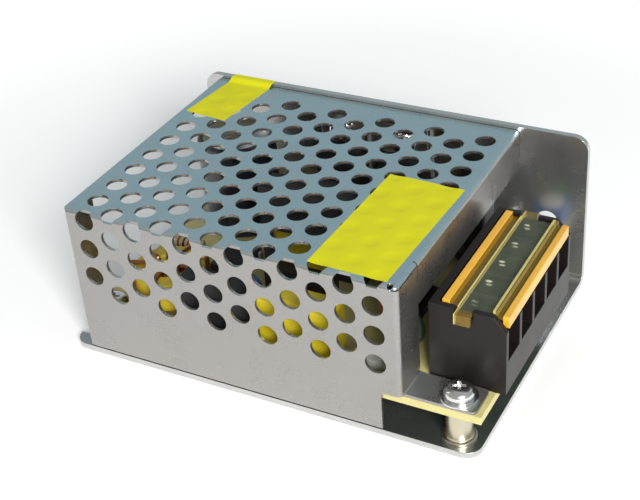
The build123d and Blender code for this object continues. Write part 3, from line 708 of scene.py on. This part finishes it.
def makeCover():
    c = cover
    sheet, bend, slip, past = (c[key] for key in ("sheet", "bend", "slip", "past"))
    left, right, front, back, top = (c[key] for key in ("left", "right", "front", "back", "top"))
    outer = foldedBox((left, front, c.low), (right, back, top), bend)
    inner = foldedBox((left + sheet, front + sheet, c.low - past),
                      (right - sheet, back + past, top - sheet), bend - sheet)
    shell = cutAway(pieceFrom(outer, "coverSheet"), inner)
    sizes = {
        "Hole Radius": c.holeRadius, "Pitch": c.pitch, "Step": columnStep,
        "First": firstColumn, "Top Start": front + c.topStart, "Top": top, "Front": front,
        "Front Start": top - c.frontStart, "Depth": c.punch}
    counts = {"Columns": c.columns, "Top Rows": c.topRows, "Front Rows": c.frontRows,
              "Sides": c.holeSides}
    lengths = {name: sizes[name] * mm for name in sizes}
    runTree(shell, punchTree(sizes, counts), counts | lengths | {"Finish": zinc})
    stripBack = front + c.strip
    under = top - sheet + c.bite
    slitLow = under - c.slit
    footTop = c.board + sheet
    inRight, inLeft = right - bend + slip, left + sheet + slip
    stripEnd, corner = stripBack + slip, front + bend + slip
    bendTop = footTop + bend - sheet
    reliefX = right - c.reliefFromRight
    foldLow = top - c.fold
    notchTop = c.board + c.notchRise
    openings = [
        ((left - past, stripBack, 0), (inLeft, back + past, under)),  # open left end
        ((left - past, corner, slitLow), (inLeft, stripEnd, under)),
        ((left - past, corner, 0), (inLeft, stripEnd, footTop)),
        ((inRight, stripBack, 0), (right + past, back + past, foldLow)),  # under the right fold
        ((inRight, stripBack, foldLow - past), (right + past, stripBack + c.slit, top + past)),
        ((reliefX, front - past, slitLow), (right + past, stripEnd, under)),
        ((inRight, corner, 0), (right + past, stripEnd, bendTop)),
        ((right - c.notch, front - past, 0), (right + past, corner + slip, notchTop)),
    ]
    for low, high in openings:
        cutAway(shell, boxKnife(low, high))
    knife = bmesh.new()
    reliefPlace = (reliefX * mm, (front + sheet) * mm, (slitLow - 2 * c.bite) * mm)
    addLathe(knife, [(c.relief, 0), (c.relief, 2 * c.deep)], reliefPlace, sides=20)
    cutAway(shell, knife)
    foot = makeFoot()
    both = bmesh.new()
    both.from_mesh(shell.data)
    both.from_mesh(foot.data)
    joinPoints(both, tiny)
    both.to_mesh(shell.data)
    both.free()
    bpy.data.objects.remove(foot)
    soften(shell, c.edge, 2, 40)
    settle(shell, "chassis", "cover_metal", ["mesh_cover"], zinc)


makeCover()
print("cover punched")


# chassis, board, posts and screws
softPiece("base_chassis", satin, 0.16, slot="chassis_metal", segments=3, name="chassisSheet")
softPiece("circuit_board", laminate, 0.10, slot="board", name="boardPanel")


def copiesTree():
    # one part set out on the points it is given, each with its own turn
    graph, given = geometryTree("setOutCopies", [("Part", "Object"), ("Finish", "Material")])
    part = graph.node("ObjectInfo", {"Object": given["Part"]}, out=4)
    turn = graph.node("InputNamedAttribute", {"Name": "turn"}, {"data_type": "FLOAT_VECTOR"})
    copies = graph.node("InstanceOnPoints", {
        "Points": given["Geometry"], "Instance": part, "Rotation": turn})
    return endTree(graph, copies, given["Finish"])


copies = copiesTree()


def setOut(name, part, places, material, slot, replaced, body="chassis", width=0.0):
    # places are (point, turn) pairs in metres and radians
    mesh = bpy.data.meshes.new(name)
    mesh.from_pydata([tuple(point) for point, turn in places], [], [])
    turns = mesh.attributes.new("turn", "FLOAT_VECTOR", "POINT")
    for spot, (point, turn) in zip(turns.data, places):
        spot.vector = turn
    obj = objectFrom(mesh, name)
    model = objectFrom(part, name + "Part")
    if width:
        soften(model, width)
    runTree(obj, copies, {"Part": model, "Finish": material})
    bpy.data.objects.remove(model)
    soften(obj, 0)
    return settle(obj, body, slot, replaced, material)


post = Sizes(flange=3.1, rim=0.5, ease=0.1, barrel=2.4, rootOut=0.2, rootUp=0.4, lead=0.15,
             bore=1.5, boreDepth=3.9)


def postMesh(height):
    p = post
    boreEnd = height - p.boreDepth
    return meshFrom(addLathe(bmesh.new(), [
        (0, 0), (p.flange - p.ease, 0), (p.flange, p.ease), (p.flange, p.rim - p.ease),
        (p.flange - p.ease, p.rim), (p.barrel + p.rootOut, p.rim + p.ease),
        (p.barrel, p.rim + p.rootUp), (p.barrel, height - p.lead), (p.barrel - p.lead, height),
        (p.bore, height), (p.bore, boreEnd), (0, boreEnd)]), "post")


spots = islands("standoffs")
setOut("boardPosts", postMesh(measure(spots[0])[1]), [(seat(pair), (0, 0, 0)) for pair in spots],
       platedPost, "standoff_metal", ["standoffs"])

screw = Sizes(head=2.75, height=2.0, shank=1.45, length=5.25, tabLength=1.6,
              tipIn=0.25, tipUp=0.3, rimIn=0.1, rimUp=0.12, edge=0.05,
              slotWidth=0.62, slotDepth=1.25, slotReach=0.58, slotTaper=(0.45, 0.8))


def screwMesh(head, height, length):
    # a pan head with a cross recess, its seat at the origin
    s = screw
    profile = [(0, -length), (s.shank - s.tipIn, -length), (s.shank, -length + s.tipUp),
               (s.shank, 0), (head - s.rimIn, 0), (head, s.rimUp)]
    for step in range(8):
        turn = radians(12 * step)
        profile.append((head * cos(turn) ** 0.55, height * (0.28 + 0.72 * sin(turn))))
    bm = addLathe(bmesh.new(), profile + [(0, height)], sides=40)
    body = pieceFrom(bm, "screwBody")
    reach, half = s.slotReach * head, s.slotWidth / 2
    for turn in (0.0, pi / 2):
        knife = boxKnife((-reach, -half, height - s.slotDepth), (reach, half, height + 1))
        for vert in knife.verts:
            if vert.co.z < height * mm:
                vert.co.x *= s.slotTaper[0]
                vert.co.y *= s.slotTaper[1]
        bmesh.ops.transform(knife, matrix=Matrix.Rotation(turn, 4, "Z"), verts=knife.verts)
        cutAway(body, knife)
    mesh = body.data
    bpy.data.objects.remove(body)
    return mesh


def setScrews(node, mesh, places, body="chassis"):
    setOut(pieceName(node), mesh, places, brightScrew, "screw_metal", [node], body, screw.edge)


boardScrew = screwMesh(screw.head, screw.height, screw.length)
setScrews("board_screws", boardScrew.copy(), [
    (seat(pair, screw.length), (0, 0, 0.5 + k)) for k, pair in enumerate(islands("board_screws"))])
setScrews("foot_screw", boardScrew.copy(), [
    (seat(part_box("foot_screw"), screw.length), (0, 0, 0.35))])
tabScrew = screwMesh(screw.head, screw.height, screw.tabLength)
setScrews("transistor_screws", tabScrew, [
    ((middle(pair).x, pair[1].y - screw.tabLength * mm, middle(pair).z), (pi / 2, 0, 0.3))
    for pair in islands("transistor_screws")])

washer = Sizes(radius=3.4, bore=1.7, edge=0.12)


def makeWasher():
    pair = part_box("foot_washer")
    sheet, edge, radius = measure(pair)[1], washer.edge, washer.radius
    bm = bmesh.new()
    addRing(bm, [(washer.bore, 0), (radius - edge, 0), (radius, edge), (radius, sheet - edge),
                 (radius - edge, sheet), (washer.bore, sheet)], seat(pair))
    turnedPiece(bm, "footWasher", "foot_washer", "screw_metal", brightScrew)


makeWasher()
print("chassis, board, posts and screws set")


# terminal block
softPiece("terminal_housing", blockPlastic, 0.16, slot="block_plastic", segments=3)
# glint and glintFromLeft size and place the painted highlight over each bay
guard = Sizes(fromLeft=(1.4, 2.8, 3.15), fromRight=(3.0, 2.45, 1.2), tongue=1.7, edge=0.14,
              pitch=6.35, firstBay=4.725, glint=0.5, glintFromLeft=5.0)


def makeGuard():
    low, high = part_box("terminal_guard")
    tongue = guard.tongue * mm
    zones = [low.x + gap * mm for gap in guard.fromLeft]
    zones += [high.x - gap * mm for gap in guard.fromRight]
    bays = {"first": low.y + guard.firstBay * mm, "middle": low.x + guard.glintFromLeft * mm,
            "pitch": guard.pitch * mm, "glint": guard.glint * mm}
    amber = guardFinish(zones, (low.y + tongue, high.y - tongue), bays)
    softPiece("terminal_guard", amber, guard.edge, "guard", "guard_plastic", 3)


makeGuard()
terminal = Sizes(head=2.3, height=2.1, length=5.2, edge=0.08)
terminalScrew = screwMesh(terminal.head, terminal.height, terminal.length)
for way in range(1, 6):
    spot = seat(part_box(f"terminal_screw_{way}"), terminal.length)
    setScrews(f"terminal_screw_{way}", terminalScrew.copy(), [(spot, (0, 0, 0.4 * way))],
              f"screw_{way}")
    softPiece(f"terminal_contact_{way}", brassStrip, terminal.edge, slot="contact_metal")
    softPiece(f"terminal_clamp_{way}", platedClamp, terminal.edge, f"clamp_{way}", "clamp_metal")
print("terminal block set")


# stickers
sticker = Sizes(
    sheet=0.05, lift=0.06, dip=0.12, sag=1.2, cell=0.45, ramp=1.6,
    wallFace=27.8, wallTop=33.4, large=(15.0, 31.3), largeTurn=-1.8,
    seal=(9.7, 17.5), sealTurn=-6.5, sealFromLeft=6.9, sealEnd=29.0,
)


def holeDip(x, y):
    # how far inside the nearest hole of the top a point lies, 0 to 1
    best = 0.0
    nearest = round((x - firstColumn) / columnStep)
    for column in (nearest - 1, nearest, nearest + 1):
        odd = column % 2
        start = cover.front + cover.topStart - odd * cover.pitch / 2
        row = round((y - start) / cover.pitch)
        if 0 <= column < cover.columns and 0 <= row < cover.topRows + odd:
            across = x - firstColumn - column * columnStep
            gap = hypot(across, y - start - row * cover.pitch)
            best = max(best, min(1.0, max(0.0, (cover.holeRadius - gap) / sticker.sag)))
    return best


def stickerPiece(node, centre, size, turn, endY=None):
    # a film that sags a little into each hole and climbs over the wall's top edge
    across, along = (round(side / sticker.cell) for side in size)
    c, s = cos(radians(turn)), sin(radians(turn))
    bm = bmesh.new()
    grid = []
    for i in range(across + 1):
        u = (i / across - 0.5) * size[0]
        far = size[1] / 2 if endY is None else (endY - centre[1] - u * s) / c
        line = []
        for j in range(along + 1):
            v = -size[1] / 2 + j / along * (far + size[1] / 2)
            x, y = centre[0] + u * c - v * s, centre[1] + u * s + v * c
            climb = min(1.0, max(0.0, 1 + (y - sticker.wallFace) / sticker.ramp))
            rise = (sticker.wallTop - cover.top) * climb * climb * (3 - 2 * climb)
            z = cover.top + sticker.lift - sticker.dip * holeDip(x, y) + rise
            line.append(bm.verts.new((x * mm, y * mm, z * mm)))
        grid.append(line)
    for near, far in zip(grid, grid[1:]):
        for j in range(along):
            bm.faces.new((near[j], far[j], far[j + 1], near[j + 1]))
    obj = pieceFrom(bm, pieceName(node))
    film = obj.modifiers.new("film", "SOLIDIFY")
    film.thickness = sticker.sheet * mm
    film.offset = -1.0
    freeze(obj)
    obj.data.shade_smooth()
    obj.data.set_sharp_from_angle(angle=radians(50))
    settle(obj, "chassis", "sticker", [node], yellowFilm)


spot = middle(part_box("large_sticker")) / mm
stickerPiece("large_sticker", (spot.x, spot.y), sticker.large, sticker.largeTurn)
sealCentre = (cover.left + sticker.sealFromLeft, sticker.sealEnd - sticker.seal[1] / 2)
stickerPiece("seal_sticker", sealCentre, sticker.seal, sticker.sealTurn, sticker.sealEnd)
print("stickers laid")


# parts on the board
boardTop = cover.board * mm
for node, material, width, slot, segments, name in (
        ("transformer_core", ferrite, 0.25, "ferrite", 3, None),
        ("transformer_bobbin", bobbinPlastic, 0.12, "bobbin", 2, None),
        ("transformer_winding", tapeFilm, 0.5, "tape", 4, None),
        ("input_choke_core", ferrite, 0.3, "ferrite", 3, "chokeCore"),
        ("input_choke_stand", bobbinPlastic, 0.15, "bobbin", 2, "chokeStand"),
        ("safety_capacitor", filmCase, 0.35, "film_case", 3, None),
        ("transistor_pads", heatPad, 0.05, "pad", 2, None),
        ("trimmer_body", trimmerCase, 0.2, "trimmer_case", 3, None)):
    softPiece(node, material, width, "chassis", slot, segments, name)

can = Sizes(foot=((0.6, 0), (0.2, 0.2), (0, 0.6)), ventWidth=0.25, ventDepth=0.12,
            groove=((0, -0.5), (0.7, -0.2), (1, 0), (0.7, 0.2), (0, 0.5)), grooveUp=2.1,
            grooveDepth=0.35, shoulder=((0, 0.9), (0.12, 0.4), (0.45, 0.08), (0.8, 0)),
            rollEdge=1.2, sink=0.25)


def makeCan(node):
    # a sleeved can with a rolled groove and a scored top
    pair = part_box(node)
    r, h = measure(pair)
    centre = seat(pair)
    depth, up, roll, sink = (can[key] for key in ("grooveDepth", "grooveUp", "rollEdge", "sink"))
    profile = [(0, 0)] + [(r - inset, rise) for inset, rise in can.foot]
    profile += [(r - depth * share, up + rise) for share, rise in can.groove]
    profile += [(r - inset, h - drop) for inset, drop in can.shoulder]
    profile += [(r - roll, h - 0.05), (r - roll - 0.1, h - sink), (0, h - sink)]
    bm = addLathe(bmesh.new(), profile, centre, sides=56)
    obj = pieceFrom(bm, pieceName(node))
    reach, half = (r - roll) * 0.75, can.ventWidth / 2
    for turn in (0.0, pi / 3, 2 * pi / 3):
        knife = boxKnife((-reach, -half, h - sink - can.ventDepth), (reach, half, h))
        place = Matrix.Translation(centre) @ Matrix.Rotation(turn, 4, "Z")
        bmesh.ops.transform(knife, matrix=place, verts=knife.verts)
        cutAway(obj, knife)
    soften(obj, 0, angle=32)
    settle(obj, "chassis", "can_sleeve", [node], sleeve, canMetal)
    lid, edge = pair[1].z - 0.5 * mm, (r - roll - 0.02) * mm

    def onLid(at):
        return at.z > lid and hypot(at.x - centre[0], at.y - centre[1]) < edge

    secondFinish(obj, onLid)


for node in ("mains_capacitor", "output_capacitor_1", "output_capacitor_2"):
    makeCan(node)

coil = Sizes(turns=8, steps=5, bore=2.35, wire=0.31, ringBore=3.6, ringEdge=0.7,
             ringWire=0.46, ringTurns=9, ringGap=(0.08, 0.02), ringBend=0.6)


def makeChokeCoils():
    # two windings whose turns show as scallops
    bore, wire, steps = coil.bore, coil.wire, coil.steps
    bm = bmesh.new()
    for pair in islands("input_choke_coils"):
        radius, height = measure(pair)
        pitch = height / coil.turns
        outline = [(bore, height), (bore, 0)]
        for turn in range(coil.turns):
            for step in range(steps):
                swing = pi * step / steps
                outline.append((radius - wire * (1 - sin(swing)),
                                pitch * (turn + (1 - cos(swing)) / 2)))
        outline.append((radius - wire, height))
        addRing(bm, outline, seat(pair))
    turnedPiece(bm, "chokeCoils", "input_choke_coils", "copper", enamelWire, angle=50)


def makeRingChoke():
    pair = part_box("output_choke_core")
    radius, height = measure(pair)
    edge, bore = coil.ringEdge, coil.ringBore
    rim = [(radius - edge, edge, 270), (radius - edge, height - edge, 0),
           (bore + edge, height - edge, 90), (bore + edge, edge, 180)]
    bm = addRing(bmesh.new(), quarters(rim, edge, 4), seat(pair), 64)
    turnedPiece(bm, "ringCore", "output_choke_core", "ring_core", ringPaint, angle=50)
    wire, soft, (gapOut, gapUp) = coil.ringWire, coil.ringBend, coil.ringGap
    around = (radius + bore) / 2
    half, rise = (radius - bore) / 2 + gapOut + wire, height / 2 + gapUp + wire
    bends = []
    for x, z, start in ((half, rise, 0), (-half, rise, 90),
                        (-half, -rise, 180), (half, -rise, 270)):
        bends.append((around + x - copysign(soft, x), z - copysign(soft, z), start))
    turnWire = bmesh.new()
    addWire(turnWire, [(x * mm, 0.0, z * mm) for x, z in quarters(bends, soft, 3)], wire, True)
    turns = coil.ringTurns
    setOut("ringWinding", meshFrom(turnWire, "ringTurn"),
           [(middle(pair), (0, 0, 2 * pi * k / turns)) for k in range(turns)],
           enamelWire, "copper", ["output_choke_winding"])


makeChokeCoils()
makeRingChoke()

disc = Sizes(bulge=((1.0, 0.0), (0.97, 0.35), (0.9, 0.62), (0.75, 0.84), (0.45, 0.97)),
             wire=0.3, shoulder=0.5, stand=0.75)


def makeDisc(name, node, coat, slot):
    # a lens-shaped dipped part on two wires
    low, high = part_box(node)
    spot = middle((low, high))
    r, half = (high.x - low.x) / 2 / mm, (high.y - low.y) / 2 / mm
    centre = (spot.x, spot.y, high.z - r * mm)
    wire, shoulder, stand = disc.wire, disc.shoulder, disc.stand
    side = [(r * share, half * rise) for share, rise in disc.bulge]
    back = [(radius, -rise) for radius, rise in side[::-1]]
    collar = [(0, 0), (wire + 0.1, 0), (shoulder + 0.3, 1.2), (shoulder, 2.0), (0, 2.0)]
    bm = addLathe(bmesh.new(), [(0, -half)] + back + side[1:] + [(0, half)], centre, layAlongY, 44)
    for way in (-1, 1):
        x = spot.x + way * r / 2 * mm
        addFlatWire(bm, [(x, boardTop), (x, centre[2] - r * 0.8 * mm)], spot.y, wire)
        addLathe(bm, collar, (x, spot.y, low.z + stand * mm), sides=16)
    obj = turnedPiece(bm, name, node, slot, coat, tinned, angle=50)
    secondFinish(obj, lambda at: at.z < low.z + (stand - 0.01) * mm)


makeDisc("discCapacitor", "disc_capacitor", discCoat, "disc_coat")
makeDisc("thermistorDisc", "thermistor", thermistorCoat, "thermistor_coat")

axial = Sizes(wire=0.32, wireInset=0.35, bend=0.25, ease=0.35, shoulder=1.2, neck=1.7,
              resistor=(1.3, 6.4), diode=(1.4, 5.0))


def makeAxials(name, node, radius, length, waist, coat, bands, slot):
    # lying bodies with waisted middles, their wires bent down to the board
    half, ease, bend = length / 2, axial.ease, axial.bend * mm
    side = [(radius - ease, half), (radius, half - ease), (radius, half - axial.shoulder),
            (radius - waist, half - axial.neck)]
    profile = [(0, -half)] + [(r, -place) for r, place in side] + side[::-1] + [(0, half)]
    axisZ = boardTop + radius * mm
    bm = bmesh.new()
    pairs = islands(node)
    for low, high in pairs:
        spot = middle((low, high))
        addLathe(bm, profile, (spot.x, spot.y, axisZ), layAlongX, 28)
        out = (high.x - low.x) / 2 - axial.wireInset * mm
        for way in (-1, 1):
            start, end = spot.x + way * (half - 0.2) * mm, spot.x + way * out
            addFlatWire(bm, [(start, axisZ), (end - way * bend, axisZ), (end, axisZ - bend),
                             (end, boardTop)], spot.y, axial.wire)
    centre, reach = middle(pairs[0]).x, length / 2 * mm
    finish = bandedFinish(name + "Coat", coat, bands, centre, reach)
    obj = turnedPiece(bm, name, node, slot, finish, tinned, angle=50)
    secondFinish(obj, lambda at: abs(at.x - centre) > reach)


resistorBands = [(-0.72, 0.09, (0.20, 0.05, 0.01)), (-0.35, 0.08, (0.01, 0.01, 0.01)),
                 (0.0, 0.08, (0.30, 0.02, 0.01)), (0.68, 0.09, (0.50, 0.32, 0.05))]
diodeBands = [(0.68, 0.14, (0.55, 0.55, 0.53))]
makeAxials("resistorBodies", "resistors", *axial.resistor, 0.15, (0.52, 0.40, 0.22),
           resistorBands, "resistor_coat")
makeAxials("diodeBodies", "diodes", *axial.diode, 0.0, (0.014, 0.014, 0.015), diodeBands, "package")

fuse = Sizes(length=9.0, cap=2.2, dome=0.08, glass=1.66, capRadius=1.9, element=0.12, wire=0.32)


def makeFuse():
    spot, half = middle(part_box("fuse_tube")), fuse.length / 2
    g, r, inner, end = fuse.glass, fuse.capRadius, half - fuse.cap, half + fuse.dome
    side = [(0, half - 0.2), (g - 0.2, half - 0.2), (g, half - 0.4), (g, 1.2)]
    tube = bmesh.new()
    addLathe(tube, [(radius, -place) for radius, place in side] + [(g, 0)] + side[::-1], spot,
             layAlongX, 32)
    turnedPiece(tube, "fuseTube", "fuse_tube", "fuse_glass", fuseGlass)
    cap = [(g + 0.03, inner), (r - 0.12, inner), (r, inner + 0.12), (r, inner + 0.5),
           (r - 0.08, inner + 0.6), (r, inner + 0.7), (r, end - 0.35), (r - 0.35, end), (0, end)]
    caps = bmesh.new()
    for way in (-1, 1):
        lay = layAlongX if way > 0 else Matrix.Rotation(-pi / 2, 4, "Y")
        addLathe(caps, cap, spot, lay, 32)
        start, out = (spot.x + way * place * mm for place in (half - 0.1, half + 0.4))
        route = [(start, spot.z), (out - way * 0.1 * mm, spot.z), (out, spot.z - 0.2 * mm),
                 (out, boardTop)]
        addFlatWire(caps, route, spot.y, fuse.wire)
    sag = [(spot.x - inner * mm, spot.z), (spot.x, spot.z + 0.25 * mm),
           (spot.x + inner * mm, spot.z)]
    addFlatWire(caps, sag, spot.y, fuse.element)
    turnedPiece(caps, "fuseCaps", "fuse_caps", "fuse_metal", tinned)


makeFuse()

package = Sizes(edge=0.18, bridgeStand=2.0, chipHalf=3.2, tabHeight=6.4, caseHeight=9.2)
hair = 1e-5  # metres, keeps the tests off the faces


def makePackage(node, test, name=None):
    # a moulded case whose legs and tab are plated
    obj = softPiece(node, packagePlastic, package.edge, slot="package", name=name)
    obj.data.materials.append(tinned)
    secondFinish(obj, test)


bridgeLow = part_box("bridge_rectifier")[0].z + package.bridgeStand * mm - hair
makePackage("bridge_rectifier", lambda at: at.z < bridgeLow)
for node, name in (("controller_chip", None), ("optocoupler", "optoPackage")):
    chipX = middle(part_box(node)).x
    makePackage(node, lambda at: abs(at.x - chipX) > package.chipHalf * mm + hair, name)
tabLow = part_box("output_rectifier")[1].z - package.tabHeight * mm + hair
caseLow = tabLow - package.caseHeight * mm - 2 * hair
for node in ("switching_transistor", "output_rectifier"):
    makePackage(node, lambda at: at.z > tabLow or at.z < caseLow)

dial = Sizes(radius=2.4, edge=0.25, slot=(0.7, 3.4, 0.7), slotEdge=0.05)
lamp = Sizes(flange=1.9, ease=0.1, radius=1.5, flangeSheet=0.9, height=5.2)


def makeTrimmerRotor():
    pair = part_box("trimmer_rotor")
    spot, h, r, e = middle(pair), measure(pair)[1], dial.radius, dial.edge
    profile = [(0, 0), (r - e, 0), (r, e), (r, h - e), (r - e, h), (0, h)]
    bm = addLathe(bmesh.new(), profile, seat(pair), sides=40)
    obj = pieceFrom(bm, "trimmerRotor")
    width, length, depth = dial.slot
    for long, wide in ((length, width), (width, length * 0.6)):
        knife = boxKnife((-long / 2, -wide / 2, -depth), (long / 2, wide / 2, 1))
        bmesh.ops.translate(knife, vec=(spot.x, spot.y, pair[1].z), verts=knife.verts)
        cutAway(obj, knife)
    soften(obj, dial.slotEdge)
    settle(obj, "trimmer_dial", "rotor_plastic", ["trimmer_rotor"], rotorPlastic)


def makeLamp():
    f, e, r, s, h = (lamp[key] for key in ("flange", "ease", "radius", "flangeSheet", "height"))
    profile = [(0, 0), (f - e, 0), (f, e), (f, s - e), (f - e, s), (r, s)]
    for step in range(0, 90, 15):
        turn = radians(step)
        profile.append((r * cos(turn), h - r + r * sin(turn)))
    bm = addLathe(bmesh.new(), profile + [(0, h)], seat(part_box("indicator_lamp")), sides=40)
    turnedPiece(bm, "indicatorLamp", "indicator_lamp", "lamp_lens", lampLens)


makeTrimmerRotor()
makeLamp()
print("parts on the board set")


# camera, light and floor
view = Sizes(target=(-2.5, 0.0, 15.0), azimuth=30.161, elevation=33.414, roll=-4.664,
             distance=256.605, focal=1316.618, frameWidth=640, shift=(0.00625, -0.00357))
keyLight = Sizes(place=(0.60, -0.66, 0.52), aim=(0, 0, 0.015), size=(0.40, 0.30),
                 power=15.5, colour=(1.0, 0.99, 0.97))
stage = Sizes(half=3.0, drop=0.0002, glow=0.26, glowFrom=0.09, glowTo=0.19,
              sky=0.40, skyFront=(1.0, 1.0, 1.0, 1.0), skyBehind=(0.98, 1.16, 1.24, 1.0))


def makeCamera():
    az, el, roll = (radians(view[key]) for key in ("azimuth", "elevation", "roll"))
    back = Vector((sin(az) * cos(el), -cos(az) * cos(el), sin(el)))
    level = Vector((0, 0, 1)).cross(back).normalized()
    upright = back.cross(level)
    right = cos(roll) * level + sin(roll) * upright
    up = -sin(roll) * level + cos(roll) * upright
    data = bpy.data.cameras.new("camera")
    data.sensor_width = 36.0
    data.lens = view.focal * data.sensor_width / view.frameWidth
    data.shift_x, data.shift_y = view.shift
    data.clip_start = 0.01
    camera = objectFrom(data, "camera")
    turn = Matrix((right, up, back)).transposed().to_4x4()
    place = (Vector(view.target) + back * view.distance) * mm
    camera.matrix_world = Matrix.Translation(place) @ turn
    bpy.context.scene.camera = camera


def makeLight():
    data = bpy.data.lights.new("key", "AREA")
    data.shape = "RECTANGLE"
    data.size, data.size_y = keyLight.size
    data.energy = keyLight.power
    data.color = keyLight.colour
    light = objectFrom(data, "key")
    light.location = keyLight.place
    aim = Vector(keyLight.aim) - Vector(keyLight.place)
    light.rotation_euler = aim.to_track_quat("-Z", "Y").to_euler()


def makeFloor():
    # pale, with a faint glow away from the object that keeps the background white
    bm = bmesh.new()
    bmesh.ops.create_grid(bm, x_segments=8, y_segments=8, size=stage.half)
    floor = pieceFrom(bm, "floor")
    floor.data.transform(Matrix.Translation((0, 0, -stage.drop)))
    skin = Finish("paleFloor", Emission_Strength=1.0)
    cloud = skin.noise(6, 2)
    across, along = skin.axis("X"), skin.axis("Y")
    away = skin.ramp(across * across + along * along, stage.glowFrom ** 2, stage.glowTo ** 2)
    dark, glow, grey, pale = (tint((share,) * 3) for share in (0, stage.glow, 0.94, 0.97))
    skin.link("Emission Color", skin.between(away, dark, glow))
    coat = skin.dress(skin.between(cloud, grey, pale), 0.75 + 0.1 * cloud)
    floor.data.materials.append(coat)


def makeWorld():
    # white studio, a little cooler behind the object
    world = bpy.data.worlds.new("studio")
    world.use_nodes = True
    graph = Graph(world.node_tree)
    ground = world.node_tree.nodes["Background"]
    sight = graph.node("TexCoord", out="Generated")
    way = graph.node("SeparateXYZ", {0: sight}, out="Y")
    behind = graph.node("MapRange", {"Value": way, "From Min": -0.1, "From Max": 0.7})
    shade = graph.node("Mix", {
        0: behind, 6: stage.skyFront, 7: stage.skyBehind}, {"data_type": "RGBA"}, 2)
    world.node_tree.links.new(shade.socket, ground.inputs["Color"])
    ground.inputs["Strength"].default_value = stage.sky
    bpy.context.scene.world = world


makeCamera()
makeLight()
makeWorld()
makeFloor()
bpy.context.scene.view_settings.view_transform = "Standard"
print("camera, light and floor set")
